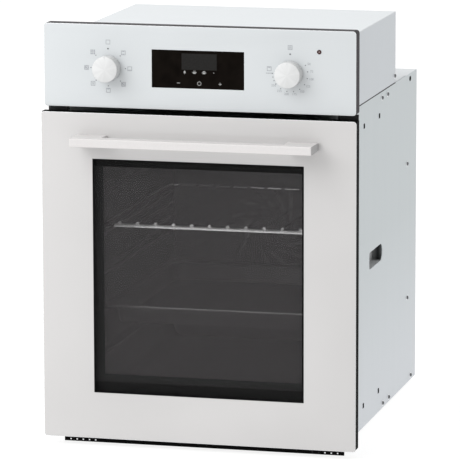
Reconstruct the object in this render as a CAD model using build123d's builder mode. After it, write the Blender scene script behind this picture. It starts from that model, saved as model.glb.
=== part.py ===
from build123d import *
import os

# Built-in wall oven for a 45 cm niche, in millimetres.
# X runs to the user's right, Y into the niche and Z up.
# The origin is the centre of the base's pressed foot, and the door faces -Y.

# Cavity
CAVITY_W = 320.0
CAVITY_H = 350.0
CAVITY_D = 438.0
CAVITY_R = 15.0
CAVITY_SHEET = 1.0
FLOOR_SPACE = 65.0
TOP_SPACE = 55.5

# Case
SHEET = 1.0
HEX_SIDE_COUNT = 6
INSULATION_T = 18.0
INSULATION_GAP = 0.3
INSULATION_SETBACK = 42.0
GRIP_DEPTH = 14.0
GRIP_BACK_GAP = 0.7
REAR_SPACE = 75.0
BASE_FLANGE_H = 20.0
BASE_RISE = 6.0
BASE_FOOT_W = 340.0
REAR_FLANGE_D = 76.0
DECK_DROP = 22.5
DECK_FLANGE_H = 42.0
BOX_D = 360.0
BOX_DROP = 17.5
BOX_SEAM = 1.0
BACK_FLANGE_D = 15.0

# Front frame and lower trim
FRAME_T = 1.5
FRAME_SIDE_W = 60.0
FRAME_FOOT_W = 41.0
FRAME_FOOT_H = 14.0
FRAME_TOP_GAP = 0.5
FIXING_R = 2.25
FIXING_EDGE = 12.0
FIXING_Z = (120.0, 400.0)
OUTLET_H = 20.5
OUTLET_MARGIN = 28.0
TRIM_T = 1.5
TRIM_H = 8.0
TRIM_HOLE_W = 2.4
TRIM_HOLE_PITCH = 9.0
TRIM_HOLE_COUNT = 5

# Door
DOOR_W = 446.0
DOOR_BOTTOM = 10.5
DOOR_PROUD = 8.5
DOOR_GLASS_T = 4.0
DOOR_CORNER_R = 4.5
DOOR_FRAME_D = 14.0
DOOR_WALL = 1.5
DOOR_EDGE = 0.3
STILE_RISE = 3.8
HINGE_MARGIN = 13.0
RAIL_TOP_H = 48.0
RAIL_BOTTOM_H = 35.5
RAIL_SEAT = 23.0
PANE_T = 3.0
PANE_SETBACK = 6.5
PANE_GAP = 0.1
PANE_TUCK = 8.0
INNER_PANE_T = 3.5
INNER_PANE_LAP = 7.0
RAIL_VENT_COUNT = 9
RAIL_VENT_L = 22.0
RAIL_VENT_W = 5.0
SEAL_GAP = 0.3
SEAL_W = 6.5
SEAL_MARGIN = 0.8

# Door handle
HANDLE_L = 340.0
HANDLE_FOOT_L = 41.5
HANDLE_H = 12.0
HANDLE_ROOT_H = 10.6
HANDLE_REACH = 44.0
HANDLE_BAR_D = 17.0
HANDLE_DROP = 30.0
HANDLE_EDGE_R = 1.2

# Door hinges
HINGE_OFFSET = 18.0
HINGE_PIN_R = 2.5
HINGE_PIN_Z = 22.0
HINGE_PIN_SETBACK = 7.5
HINGE_ARM_T = 3.0
HINGE_ARM_REACH = 30.0
HINGE_EYE_R = 4.2
HINGE_HOOK_L = 6.0
HINGE_HOOK_H = 5.0
HINGE_EAR_T = 2.0
HINGE_EAR_GAP = 0.4
HINGE_CASE_H = 60.0
HINGE_WEB_T = 1.0
HINGE_SLOT_ROOM = 5.0
RECEIVER_W = 12.0
RECEIVER_D = 40.0
RECEIVER_H = 26.0
PIN_CLEARANCE = 0.05

# Control panel
PANEL_W = 441.0
PANEL_H = 115.5
PANEL_D = 20.0
PANEL_GAP = 6.5
PANEL_R = 4.5
PANEL_GLASS_T = 4.0
CARRIER_WALL = 2.5
CARRIER_RIB = 2.5
DISPLAY_W = 130.0
DISPLAY_H = 52.0
DISPLAY_X = -1.2
DISPLAY_RISE = 56.5
DISPLAY_LIP = 6.0
DISPLAY_BOARD_T = 1.6
DISPLAY_MODULE_D = 12.0
PILOT_INSET = 26.0
PILOT_RISE = 86.0
PILOT_R = 2.6
PILOT_L = 18.0
PILOT_COLLAR_R = 4.5
PILOT_COLLAR_T = 3.0

# Knobs, switch and thermostat
KNOB_INSET = 92.0
KNOB_RISE = 55.0
KNOB_R = 18.0
KNOB_L = 18.5
KNOB_GAP = 0.5
KNOB_EDGE = 0.8
KNOB_MARK_W = 1.6
KNOB_MARK_L = 5.0
KNOB_MARK_D = 0.8
SHAFT_R = 3.0
SHAFT_SEAT = 12.0
SHAFT_CLEARANCE = 0.05
BUSH_W = 10.0
SWITCH_W = 34.0
SWITCH_D = 30.0
SWITCH_TAB_L = 8.0
THERMOSTAT_R = 19.0
THERMOSTAT_D = 24.0

# Cooling blower
BLOWER_L = 190.0
BLOWER_SETBACK = 90.0
ROTOR_R = 27.0
ROTOR_GAP = 6.0
ROTOR_END_GAP = 6.0
ROTOR_BLADE_COUNT = 12
ROTOR_BLADE_D = 8.0
ROTOR_BLADE_T = 1.0
BLOWER_SHAFT_R = 3.0
BLOWER_BUSH_R = 7.0
DRUM_SIDE_COUNT = 16
BLOWER_MOTOR_W = 38.0
BLOWER_MOTOR_L = 36.0
DUCT_H = 26.0
DUCT_FRONT_GAP = 1.0

# Convection fan
FAN_Z = 175.0
FAN_COVER_W = 220.0
FAN_COVER_H = 240.0
FAN_COVER_D = 33.0
FAN_COVER_R = 22.0
FAN_SLOT_COUNT = 14
FAN_SLOT_L = 40.0
FAN_SLOT_W = 5.0
FAN_SLOT_R = 46.0
FAN_SLOT_TURN = 38.0
FAN_R = 72.0
FAN_BLADE_COUNT = 12
FAN_BLADE_L = 24.0
FAN_BLADE_D = 18.0
FAN_BLADE_T = 1.2
FAN_GAP = 5.0
FAN_HUB_R = 11.0
FAN_SHAFT_R = 4.0
MOTOR_W = 50.0
MOTOR_L = 46.0
MOTOR_BRACKET_W = 96.0
MOTOR_BRACKET_H = 40.0
MOTOR_BRACKET_T = 2.0
COIL_SPREAD = 0.9
COIL_HEIGHT = 0.7

# Heating elements, oven lamp and sensor
ELEMENT_R = 3.25
TUBE_SIDE_COUNT = 6
ELEMENT_BEND_R = 18.0
GRILL_DROP = 12.0
GRILL_W = 210.0
GRILL_FRONT = 70.0
ELEMENT_TAIL = 18.0
BAKE_W = 200.0
BAKE_FRONT = 90.0
BAKE_GAP = 0.35
LAMP_X = 132.0
LAMP_DROP = 30.0
LAMP_R = 20.0
LAMP_LENS_D = 11.0
LAMP_GLASS_T = 1.5
LAMP_SIDE_COUNT = 20
LAMP_CUP_D = 34.0
LAMP_BULB_R = 9.0
LAMP_BULB_L = 26.0
PROBE_X = 120.0
PROBE_DROP = 22.0
PROBE_R = 2.5
PROBE_L = 70.0
PROBE_FLANGE_R = 7.0

# Side rails pressed into the cavity, the wire rack and the baking tray
RAIL_LEVEL_COUNT = 5
RAIL_FIRST = 62.5
RAIL_PITCH = 57.5
RAIL_DEPTH = 8.0
RAIL_H = 16.0
RAIL_CREST = 7.0
RAIL_FRONT = 26.0
RAIL_REAR = 20.0
RACK_STEP_COUNT = 3
TRAY_STEP_COUNT = 1
SHELF_GAP = 0.3
SHELF_SIDE_GAP = 3.0
SHELF_FRONT = 37.0
SHELF_REAR_GAP = 10.0
RACK_ROD_R = 3.0
RACK_WIRE_R = 1.6
RACK_WIRE_COUNT = 11
RACK_PITCH = 26.0
RACK_CORNER_R = 16.0
TRAY_SHEET = 1.0
TRAY_HEM_T = 2.6
TRAY_FLANGE = 12.0
TRAY_DEPTH = 26.0
TRAY_TAPER = 12.0
TRAY_R = 20.0

# Wiring, holes and carrying pockets
TERMINAL_W = 46.0
TERMINAL_D = 24.0
TERMINAL_H = 18.0
TERMINAL_WAY_COUNT = 3
TERMINAL_POCKET = 0.75
GLAND_X = 130.0
GLAND_RISE = 52.0
GLAND_BORE_R = 5.0
GLAND_BODY_W = 14.0
GLAND_FLANGE_R = 11.0
GLAND_FLANGE_T = 4.0
GLAND_NUT_T = 5.0
SIDE_HOLE_W = 6.0
SIDE_HOLE_SETBACKS = (148.5, 250.0)
SIDE_HOLE_RISE = 37.5
SIDE_HOLE_DROP = 32.5
OBLONG_W = 6.5
OBLONG_L = 10.0
OBLONG_SETBACK = 48.5
OBLONG_DROP = 7.7
GRIP_L = 88.0
GRIP_H = 24.5
GRIP_R = 5.0
GRIP_LIP = 6.0
GRIP_SETBACK = 229.5
GRIP_Z = 238.5
BASE_VENT_L = 60.0
BASE_VENT_W = 6.0
BASE_VENT_PITCH = (80.0, 110.0)
BASE_VENT_COUNT = (4, 3)
REAR_VENT_L = 26.0
REAR_VENT_W = 5.0
REAR_VENT_PITCH = (40.0, 12.0)
REAR_VENT_COUNT = (5, 4)

# Widths worked out from the wall build-up
WALL_BUILD = CAVITY_SHEET + INSULATION_GAP + INSULATION_T + GRIP_BACK_GAP + GRIP_DEPTH + SHEET
CASE_W = CAVITY_W + 2 * WALL_BUILD
CASE_D = CAVITY_D + CAVITY_SHEET + REAR_SPACE
SIDE_X = CASE_W / 2
LINER_X = SIDE_X - SHEET
FRAME_W = CAVITY_W + 2 * FRAME_SIDE_W
FOOT_W = CAVITY_W + 2 * FRAME_FOOT_W
HINGE_X = CAVITY_W / 2 + HINGE_OFFSET
KNOB_X = PANEL_W / 2 - KNOB_INSET
PILOT_X = SIDE_X - PILOT_INSET

# Depths, from the front edge of the case
CASE_Y0 = -CASE_D / 2
CASE_Y1 = CASE_D / 2
FRAME_Y = CASE_Y0 - FRAME_T
PANEL_Y = CASE_Y0 - PANEL_D
CARRIER_Y = PANEL_Y + PANEL_GLASS_T
DOOR_Y = PANEL_Y - DOOR_PROUD
DOOR_FRAME_Y = DOOR_Y + DOOR_GLASS_T
DOOR_BACK_Y = DOOR_FRAME_Y + DOOR_FRAME_D
PANE_Y = DOOR_FRAME_Y + PANE_SETBACK
INNER_BACK_Y = DOOR_BACK_Y + INNER_PANE_T
HINGE_Y = DOOR_FRAME_Y + HINGE_PIN_SETBACK
CAVITY_Y1 = CASE_Y0 + CAVITY_D
BACK_Y1 = CAVITY_Y1 + CAVITY_SHEET
BOX_Y1 = CASE_Y0 + BOX_D
BLOWER_Y = BOX_Y1 - BLOWER_SETBACK

# Heights
CAVITY_Z0 = FLOOR_SPACE
CAVITY_Z1 = CAVITY_Z0 + CAVITY_H
CAVITY_ZC = (CAVITY_Z0 + CAVITY_Z1) / 2
SIDE_Z1 = CAVITY_Z1 + TOP_SPACE
DOOR_Z1 = SIDE_Z1
DOOR_H = DOOR_Z1 - DOOR_BOTTOM
DOOR_ZC = DOOR_BOTTOM + DOOR_H / 2
PANEL_Z0 = DOOR_Z1 + PANEL_GAP
PANEL_Z1 = PANEL_Z0 + PANEL_H
PANEL_ZC = PANEL_Z0 + PANEL_H / 2
FRAME_Z1 = PANEL_Z0 - FRAME_TOP_GAP
BOX_Z0 = SIDE_Z1 + BOX_SEAM
BOX_Z1 = PANEL_Z1 - BOX_DROP
DECK_Z1 = SIDE_Z1 - DECK_DROP
DECK_Z0 = DECK_Z1 - SHEET
KNOB_Z = PANEL_Z0 + KNOB_RISE
DISPLAY_Z = PANEL_Z0 + DISPLAY_RISE
PILOT_Z = PANEL_Z0 + PILOT_RISE
GLAND_Z = DECK_Z1 + GLAND_RISE
FAN_ZC = CAVITY_Z0 + FAN_Z
LAMP_Z = CAVITY_Z1 - LAMP_DROP
PROBE_Z = CAVITY_Z1 - PROBE_DROP
LAMP_HOLE_R = LAMP_R - 2 * LAMP_GLASS_T
RACK_Z = CAVITY_Z0 + RAIL_FIRST + RACK_STEP_COUNT * RAIL_PITCH + SHELF_GAP + RACK_ROD_R
TRAY_Z = CAVITY_Z0 + RAIL_FIRST + TRAY_STEP_COUNT * RAIL_PITCH + SHELF_GAP

# Square holes of each side panel, as depth and height, and the oblong hole at the rear
SIDE_HOLES = [
    (CASE_Y0 + setback, height)
    for setback in SIDE_HOLE_SETBACKS
    for height in (SIDE_HOLE_RISE, SIDE_Z1 - SIDE_HOLE_DROP)
]
OBLONG = (CASE_Y1 - OBLONG_SETBACK, SIDE_Z1 - OBLONG_DROP)
GRIP_Y = CASE_Y0 + GRIP_SETBACK
SIDES = ((-1, "left"), (1, "right"))

os.makedirs("parts", exist_ok=True)


def front_plane(y):
    """Upright plane at depth y, seen from the front: x to the right, y up."""
    return Plane.XZ.offset(-y)


def span(low, high):
    """Middle of a stretch."""
    return (low + high) / 2


def block(x_limits, y_limits, z_limits, mode=Mode.ADD):
    """Rectangular block between limits, in the open part."""
    sizes = [high - low for low, high in (x_limits, y_limits, z_limits)]
    with Locations((span(*x_limits), span(*y_limits), span(*z_limits))):
        Box(*sizes, mode=mode)


def both_sides(low, high):
    """The stretch from low to high on the right, and its twin on the left."""
    return ((-high, -low), (low, high))


def save(piece, name):
    """Label a finished piece and write it."""
    piece.label = name
    export_step(piece, f"parts/{name}.step")


# Case: side panels with square holes, an oblong hole and a pocket mouth rounded at its rear end
for side, hand in SIDES:
    with BuildPart() as side_panel:
        with BuildSketch(Plane.YZ.offset(side * SIDE_X)):
            with Locations((span(CASE_Y0, CASE_Y1), span(BASE_RISE, SIDE_Z1))):
                Rectangle(CASE_D, SIDE_Z1 - BASE_RISE)
            with Locations(*SIDE_HOLES):
                Rectangle(SIDE_HOLE_W, SIDE_HOLE_W, mode=Mode.SUBTRACT)
            with Locations(OBLONG):
                SlotOverall(OBLONG_L, OBLONG_W, mode=Mode.SUBTRACT)
            with Locations((GRIP_Y, GRIP_Z)):
                SlotOverall(GRIP_L, GRIP_H, mode=Mode.SUBTRACT)
            with Locations((GRIP_Y - GRIP_L / 4, GRIP_Z)):
                RectangleRounded(GRIP_L / 2, GRIP_H, GRIP_R, mode=Mode.SUBTRACT)
        extrude(amount=-side * SHEET)
    save(side_panel.part, f"side_panel_{hand}")

# Carrying pockets: deep-drawn cups behind the side panels
with BuildPart() as carry_grips:
    for side, hand in SIDES:
        with BuildSketch(Plane.YZ.offset(side * LINER_X)):
            with Locations((GRIP_Y, GRIP_Z)):
                Rectangle(GRIP_L + 2 * GRIP_LIP, GRIP_H + 2 * GRIP_LIP)
        extrude(amount=-side * SHEET)
        with BuildSketch(Plane.YZ.offset(side * LINER_X)):
            with Locations((GRIP_Y, GRIP_Z)):
                Rectangle(GRIP_L + 2 * SHEET, GRIP_H + 2 * SHEET)
        extrude(amount=-side * GRIP_DEPTH)
        with BuildSketch(Plane.YZ.offset(side * LINER_X)):
            with Locations((GRIP_Y, GRIP_Z)):
                Rectangle(GRIP_L, GRIP_H)
        extrude(amount=-side * (GRIP_DEPTH - SHEET), mode=Mode.SUBTRACT)
save(carry_grips.part, "carry_grips")

# Base pan: folded tray with a broad foot pressed downwards and vent slots
BASE_FLANGE_Z1 = BASE_RISE + BASE_FLANGE_H
with BuildPart() as base_pan:
    with BuildSketch(front_plane(CASE_Y0)):
        with Locations((0, span(BASE_RISE, BASE_FLANGE_Z1))):
            Rectangle(2 * LINER_X, BASE_FLANGE_H)
        with Locations((0, span(0, BASE_RISE))):
            Rectangle(BASE_FOOT_W, BASE_RISE)
        with Locations((0, span(BASE_RISE, BASE_FLANGE_Z1) + SHEET)):
            Rectangle(2 * (LINER_X - SHEET), BASE_FLANGE_H, mode=Mode.SUBTRACT)
        with Locations((0, span(0, BASE_RISE) + SHEET)):
            Rectangle(BASE_FOOT_W - 2 * SHEET, BASE_RISE, mode=Mode.SUBTRACT)
    extrude(amount=-(CASE_D - SHEET))
    with BuildSketch(Plane.XY):
        with GridLocations(*BASE_VENT_PITCH, *BASE_VENT_COUNT):
            Rectangle(BASE_VENT_L, BASE_VENT_W)
    extrude(amount=SHEET, mode=Mode.SUBTRACT)
save(base_pan.part, "base_pan")

# Rear panel: louvred sheet with flanges folded forward
with BuildPart() as rear_panel:
    with BuildSketch(Plane.XY.offset(BASE_RISE)):
        with Locations((0, CASE_Y1 - REAR_FLANGE_D / 2)):
            Rectangle(2 * LINER_X, REAR_FLANGE_D)
        with Locations((0, CASE_Y1 - SHEET - REAR_FLANGE_D / 2)):
            Rectangle(2 * (LINER_X - SHEET), REAR_FLANGE_D, mode=Mode.SUBTRACT)
    extrude(amount=SIDE_Z1 - BASE_RISE)
    for flange in both_sides(LINER_X - SHEET, LINER_X):
        block(flange, (CASE_Y1 - REAR_FLANGE_D, CASE_Y1 - SHEET), (BASE_RISE, BASE_FLANGE_Z1), Mode.SUBTRACT)
    with BuildSketch(front_plane(CASE_Y1)):
        with Locations((0, CAVITY_ZC)):
            with GridLocations(*REAR_VENT_PITCH, *REAR_VENT_COUNT):
                Rectangle(REAR_VENT_L, REAR_VENT_W)
    extrude(amount=SHEET, mode=Mode.SUBTRACT)
save(rear_panel.part, "rear_panel")

# Lid over the rear of the lower case, with a lip that stands against the control box
with BuildPart() as rear_top_cover:
    with BuildSketch(Plane.YZ.offset(-(LINER_X - SHEET))):
        with BuildLine():
            Polyline(
                (BOX_Y1, SIDE_Z1),
                (CASE_Y1 - SHEET, SIDE_Z1),
                (CASE_Y1 - SHEET, SIDE_Z1 - SHEET),
                (BOX_Y1 + SHEET, SIDE_Z1 - SHEET),
                (BOX_Y1 + SHEET, DECK_Z1),
                (BOX_Y1, DECK_Z1),
                close=True,
            )
        make_face()
    extrude(amount=2 * (LINER_X - SHEET))
save(rear_top_cover.part, "rear_top_cover")

# Cooling deck: tray over the insulation, whose flanges join the case and the control box
with BuildPart() as cooling_deck:
    with BuildSketch(front_plane(CASE_Y0)):
        with Locations((0, DECK_Z0 + DECK_FLANGE_H / 2)):
            Rectangle(2 * LINER_X, DECK_FLANGE_H)
        with Locations((0, DECK_Z1 + DECK_FLANGE_H / 2)):
            Rectangle(2 * (LINER_X - SHEET), DECK_FLANGE_H, mode=Mode.SUBTRACT)
    extrude(amount=-BOX_D + SHEET)
save(cooling_deck.part, "cooling_deck")

# Control box cover: inverted U over the control compartment
with BuildPart() as control_box_cover:
    with BuildSketch(front_plane(CASE_Y0)):
        with Locations((0, span(BOX_Z0, BOX_Z1))):
            Rectangle(CASE_W, BOX_Z1 - BOX_Z0)
        with Locations((0, span(BOX_Z0, BOX_Z1) - SHEET)):
            Rectangle(CASE_W - 2 * SHEET, BOX_Z1 - BOX_Z0, mode=Mode.SUBTRACT)
    extrude(amount=-BOX_D)
save(control_box_cover.part, "control_box_cover")

# Rear wall of the control box, with flanges and the cable hole
with BuildPart() as control_box_back:
    with BuildSketch(front_plane(BOX_Y1 - SHEET)):
        with Locations((0, span(DECK_Z1, BOX_Z1 - SHEET))):
            Rectangle(2 * (LINER_X - SHEET), BOX_Z1 - SHEET - DECK_Z1)
        with Locations((-GLAND_X, GLAND_Z)):
            Rectangle(GLAND_BODY_W, GLAND_BODY_W, mode=Mode.SUBTRACT)
    extrude(amount=-SHEET)
    with BuildSketch(front_plane(BOX_Y1 - SHEET)):
        for flange in both_sides(LINER_X - 2 * SHEET, LINER_X - SHEET):
            with Locations((span(*flange), span(DECK_Z1, BOX_Z1 - SHEET))):
                Rectangle(SHEET, BOX_Z1 - SHEET - DECK_Z1)
        with Locations((0, BOX_Z1 - 1.5 * SHEET)):
            Rectangle(2 * (LINER_X - SHEET), SHEET)
    extrude(amount=BACK_FLANGE_D - SHEET)
save(control_box_back.part, "control_box_back")

# Front frame: flat enamelled plate round the cavity mouth
ARM_Z0 = HINGE_PIN_Z - HINGE_EYE_R
ARM_Z1 = HINGE_PIN_Z + HINGE_EYE_R
with BuildPart() as front_frame:
    with BuildSketch(front_plane(CASE_Y0)):
        with Locations((0, span(FRAME_FOOT_H, FRAME_Z1))):
            Rectangle(FRAME_W, FRAME_Z1 - FRAME_FOOT_H)
        with Locations((0, FRAME_FOOT_H / 2)):
            Rectangle(FOOT_W, FRAME_FOOT_H)
        with Locations((0, CAVITY_ZC)):
            RectangleRounded(CAVITY_W, CAVITY_H, CAVITY_R, mode=Mode.SUBTRACT)
        with Locations((0, FRAME_Z1 - OUTLET_H / 2)):
            Rectangle(FRAME_W - 2 * OUTLET_MARGIN, OUTLET_H, mode=Mode.SUBTRACT)
        for x in (-HINGE_X, HINGE_X):
            with Locations((x, ARM_Z0 + (ARM_Z1 - ARM_Z0 + HINGE_SLOT_ROOM) / 2)):
                Rectangle(RECEIVER_W - 4 * SHEET, ARM_Z1 - ARM_Z0 + HINGE_SLOT_ROOM, mode=Mode.SUBTRACT)
        for z in FIXING_Z:
            with Locations((FIXING_EDGE - FRAME_W / 2, z), (FRAME_W / 2 - FIXING_EDGE, z)):
                Circle(FIXING_R, mode=Mode.SUBTRACT)
    extrude(amount=FRAME_T)
save(front_frame.part, "front_frame")

# Lower trim strip with small air holes near both ends
TRIM_HOLES_X = FOOT_W / 2 - (TRIM_HOLE_COUNT + 1) * TRIM_HOLE_PITCH / 2
with BuildPart() as bottom_vent_trim:
    with BuildSketch(front_plane(FRAME_Y)):
        with Locations((0, TRIM_H / 2)):
            Rectangle(FOOT_W, TRIM_H)
        for x in (-TRIM_HOLES_X, TRIM_HOLES_X):
            with Locations((x, TRIM_H / 3)):
                with GridLocations(TRIM_HOLE_PITCH, TRIM_HOLE_PITCH, TRIM_HOLE_COUNT, 1):
                    Rectangle(TRIM_HOLE_W, TRIM_HOLE_W, mode=Mode.SUBTRACT)
    extrude(amount=TRIM_T)
save(bottom_vent_trim.part, "bottom_vent_trim")

# Cavity floor and roof: channels that turn up and down into the side walls
SHELL_W = CAVITY_W + 2 * CAVITY_SHEET
SHELL_H = CAVITY_H + 2 * CAVITY_SHEET
for name, half in (("cavity_floor", -1), ("cavity_roof", 1)):
    with BuildPart() as channel:
        with BuildSketch(front_plane(CASE_Y0)):
            with Locations((0, CAVITY_ZC)):
                RectangleRounded(SHELL_W, SHELL_H, CAVITY_R + CAVITY_SHEET)
                RectangleRounded(CAVITY_W, CAVITY_H, CAVITY_R, mode=Mode.SUBTRACT)
            with Locations((0, CAVITY_ZC - half * CAVITY_R)):
                Rectangle(SHELL_W, CAVITY_H, mode=Mode.SUBTRACT)
        extrude(amount=-CAVITY_D)
    save(channel.part, name)

# Cavity side walls with shelf rails pressed inwards
RAIL_L = CAVITY_D - RAIL_FRONT - RAIL_REAR
RAIL_Y0 = CASE_Y0 + RAIL_FRONT
for side, hand in SIDES:
    wall_in = side * CAVITY_W / 2
    wall_out = side * SHELL_W / 2
    crest = side * (CAVITY_W / 2 - RAIL_DEPTH)
    hollow = crest + side * CAVITY_SHEET
    with BuildPart() as cavity_side:
        with BuildSketch(Plane.YZ.offset(wall_out)):
            with Locations((span(CASE_Y0, CAVITY_Y1), CAVITY_ZC)):
                Rectangle(CAVITY_D, CAVITY_H - 2 * CAVITY_R)
        extrude(amount=-side * CAVITY_SHEET)
        for level in range(RAIL_LEVEL_COUNT):
            top = CAVITY_Z0 + RAIL_FIRST + level * RAIL_PITCH
            low = top - RAIL_H
            with BuildSketch(front_plane(RAIL_Y0)):
                with BuildLine():
                    Polyline(
                        (wall_in, top),
                        (crest, top),
                        (crest, top - RAIL_CREST),
                        (wall_in, low),
                        close=True,
                    )
                make_face()
            extrude(amount=-RAIL_L)
            with BuildSketch(front_plane(RAIL_Y0 + CAVITY_SHEET)):
                with BuildLine():
                    Polyline(
                        (wall_out, top - CAVITY_SHEET),
                        (hollow, top - CAVITY_SHEET),
                        (hollow, top - RAIL_CREST),
                        (wall_out, low + CAVITY_SHEET),
                        close=True,
                    )
                make_face()
            extrude(amount=-(RAIL_L - 2 * CAVITY_SHEET), mode=Mode.SUBTRACT)
    save(cavity_side.part, f"cavity_side_{hand}")

# Cavity back wall with the holes for fan shaft, lamp, grill legs and probe
with BuildPart() as cavity_back:
    with BuildSketch(front_plane(CAVITY_Y1)):
        with Locations((0, CAVITY_ZC)):
            RectangleRounded(SHELL_W, SHELL_H, CAVITY_R + CAVITY_SHEET)
        with Locations((0, FAN_ZC)):
            Rectangle(FAN_HUB_R, FAN_HUB_R, mode=Mode.SUBTRACT)
        with Locations((LAMP_X, LAMP_Z)):
            RegularPolygon(LAMP_HOLE_R, LAMP_SIDE_COUNT, mode=Mode.SUBTRACT)
        with Locations((-GRILL_W / 2, CAVITY_Z1 - GRILL_DROP), (GRILL_W / 2, CAVITY_Z1 - GRILL_DROP)):
            RegularPolygon(ELEMENT_R, TUBE_SIDE_COUNT, major_radius=False, mode=Mode.SUBTRACT)
        with Locations((-PROBE_X, PROBE_Z)):
            RegularPolygon(PROBE_R, TUBE_SIDE_COUNT, mode=Mode.SUBTRACT)
    extrude(amount=-CAVITY_SHEET)
save(cavity_back.part, "cavity_back")

# Insulation: glass-wool mat folded over the roof and sides
with BuildPart() as insulation_wrap:
    mat_w = SHELL_W + 2 * INSULATION_GAP
    mat_h = SHELL_H + 2 * INSULATION_GAP
    mat_r = CAVITY_R + CAVITY_SHEET + INSULATION_GAP
    with BuildSketch(front_plane(CASE_Y0 + INSULATION_SETBACK)):
        with Locations((0, CAVITY_ZC)):
            RectangleRounded(mat_w + 2 * INSULATION_T, mat_h + 2 * INSULATION_T, mat_r + INSULATION_T)
            RectangleRounded(mat_w, mat_h, mat_r, mode=Mode.SUBTRACT)
        with Locations((0, CAVITY_Z0 - INSULATION_T)):
            Rectangle(mat_w + 2 * INSULATION_T, 2 * INSULATION_T + 2 * CAVITY_R, mode=Mode.SUBTRACT)
    extrude(amount=-(CAVITY_D - INSULATION_SETBACK))
save(insulation_wrap.part, "insulation_wrap")

# Door seal: rubber ring on the front frame round the cavity mouth
SEAL_Y = INNER_BACK_Y + SEAL_GAP
with BuildPart() as door_seal:
    with BuildSketch(front_plane(FRAME_Y)):
        with Locations((0, CAVITY_ZC)):
            for margin, mode in ((SEAL_MARGIN + SEAL_W, Mode.ADD), (SEAL_MARGIN, Mode.SUBTRACT)):
                RectangleRounded(CAVITY_W + 2 * margin, CAVITY_H + 2 * margin, CAVITY_R + margin, mode=mode)
    extrude(amount=FRAME_Y - SEAL_Y)
save(door_seal.part, "door_seal")

# Fan cover: pressed tray with swirl slots and outlets along its sides
FAN_COVER_Y = CAVITY_Y1 - FAN_COVER_D
with BuildPart() as fan_cover:
    with BuildSketch(front_plane(CAVITY_Y1)):
        with Locations((0, FAN_ZC)):
            RectangleRounded(FAN_COVER_W, FAN_COVER_H, FAN_COVER_R)
    extrude(amount=FAN_COVER_D)
    with BuildSketch(front_plane(CAVITY_Y1)):
        with Locations((0, FAN_ZC)):
            RectangleRounded(
                FAN_COVER_W - 2 * CAVITY_SHEET, FAN_COVER_H - 2 * CAVITY_SHEET, FAN_COVER_R - CAVITY_SHEET
            )
    extrude(amount=FAN_COVER_D - CAVITY_SHEET, mode=Mode.SUBTRACT)
    with BuildSketch(front_plane(FAN_COVER_Y)):
        with Locations((0, FAN_ZC)):
            with PolarLocations(FAN_SLOT_R, FAN_SLOT_COUNT):
                Rectangle(FAN_SLOT_L, FAN_SLOT_W, rotation=FAN_SLOT_TURN)
    extrude(amount=-CAVITY_SHEET, mode=Mode.SUBTRACT)
    with BuildSketch(Plane.YZ.offset(-FAN_COVER_W / 2)):
        with Locations((span(FAN_COVER_Y, CAVITY_Y1), FAN_ZC)):
            with GridLocations(FAN_COVER_D, FAN_COVER_H / 4, 1, 3):
                Rectangle(FAN_COVER_D / 3, FAN_COVER_H / 6)
    extrude(amount=FAN_COVER_W, mode=Mode.SUBTRACT)
save(fan_cover.part, "fan_cover")

# Convection fan on its shaft
FAN_Y0 = FAN_COVER_Y + CAVITY_SHEET + FAN_GAP
FAN_Y1 = FAN_Y0 + FAN_BLADE_D
MOTOR_Y0 = BACK_Y1 + MOTOR_BRACKET_T
with BuildPart() as convection_fan:
    with BuildSketch(front_plane(FAN_Y1)):
        with Locations((0, FAN_ZC)):
            RegularPolygon(FAN_R, 2 * FAN_BLADE_COUNT)
    extrude(amount=-FAN_BLADE_T)
    with BuildSketch(front_plane(FAN_Y1)):
        with Locations((0, FAN_ZC)):
            with PolarLocations(FAN_R - FAN_BLADE_L / 2 - FAN_BLADE_T, FAN_BLADE_COUNT):
                Rectangle(FAN_BLADE_L, FAN_BLADE_T, rotation=FAN_SLOT_TURN / 2)
    extrude(amount=FAN_BLADE_D)
    with BuildSketch(front_plane(FAN_Y1)):
        with Locations((0, FAN_ZC)):
            RegularPolygon(FAN_HUB_R, HEX_SIDE_COUNT)
    extrude(amount=FAN_BLADE_D / 2)
    with BuildSketch(front_plane(FAN_Y1)):
        with Locations((0, FAN_ZC)):
            Circle(FAN_SHAFT_R)
    extrude(amount=-(MOTOR_Y0 + MOTOR_L / 2 - FAN_Y1))
save(convection_fan.part, "convection_fan")

# Fan motor: strap bracket on the back wall, laminated stack, coil and bearing bridge
with BuildPart() as convection_motor:
    with BuildSketch(front_plane(BACK_Y1)):
        with Locations((0, FAN_ZC)):
            Rectangle(MOTOR_BRACKET_W, MOTOR_BRACKET_H)
    extrude(amount=-MOTOR_BRACKET_T)
    with BuildSketch(front_plane(MOTOR_Y0)):
        with Locations((0, FAN_ZC)):
            Rectangle(MOTOR_W, MOTOR_W)
        with Locations((0, FAN_ZC - MOTOR_W)):
            Rectangle(MOTOR_W / 2, MOTOR_W)
    extrude(amount=-MOTOR_L / 2)
    with BuildSketch(front_plane(MOTOR_Y0 + MOTOR_L / 8)):
        with Locations((0, FAN_ZC - MOTOR_W)):
            Rectangle(COIL_SPREAD * MOTOR_W, COIL_HEIGHT * MOTOR_W)
    extrude(amount=-MOTOR_L / 4)
    with BuildSketch(front_plane(MOTOR_Y0 + MOTOR_L / 2)):
        with Locations((0, FAN_ZC)):
            Rectangle(MOTOR_W, MOTOR_W / 3)
    extrude(amount=-MOTOR_L / 2)
    with BuildSketch(front_plane(BACK_Y1)):
        with Locations((0, FAN_ZC)):
            Circle(FAN_SHAFT_R + SHAFT_CLEARANCE)
    extrude(amount=-(MOTOR_BRACKET_T + 2 * MOTOR_L / 3), mode=Mode.SUBTRACT)
save(convection_motor.part, "convection_motor")


TAIL_Y = BACK_Y1 + ELEMENT_TAIL


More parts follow.
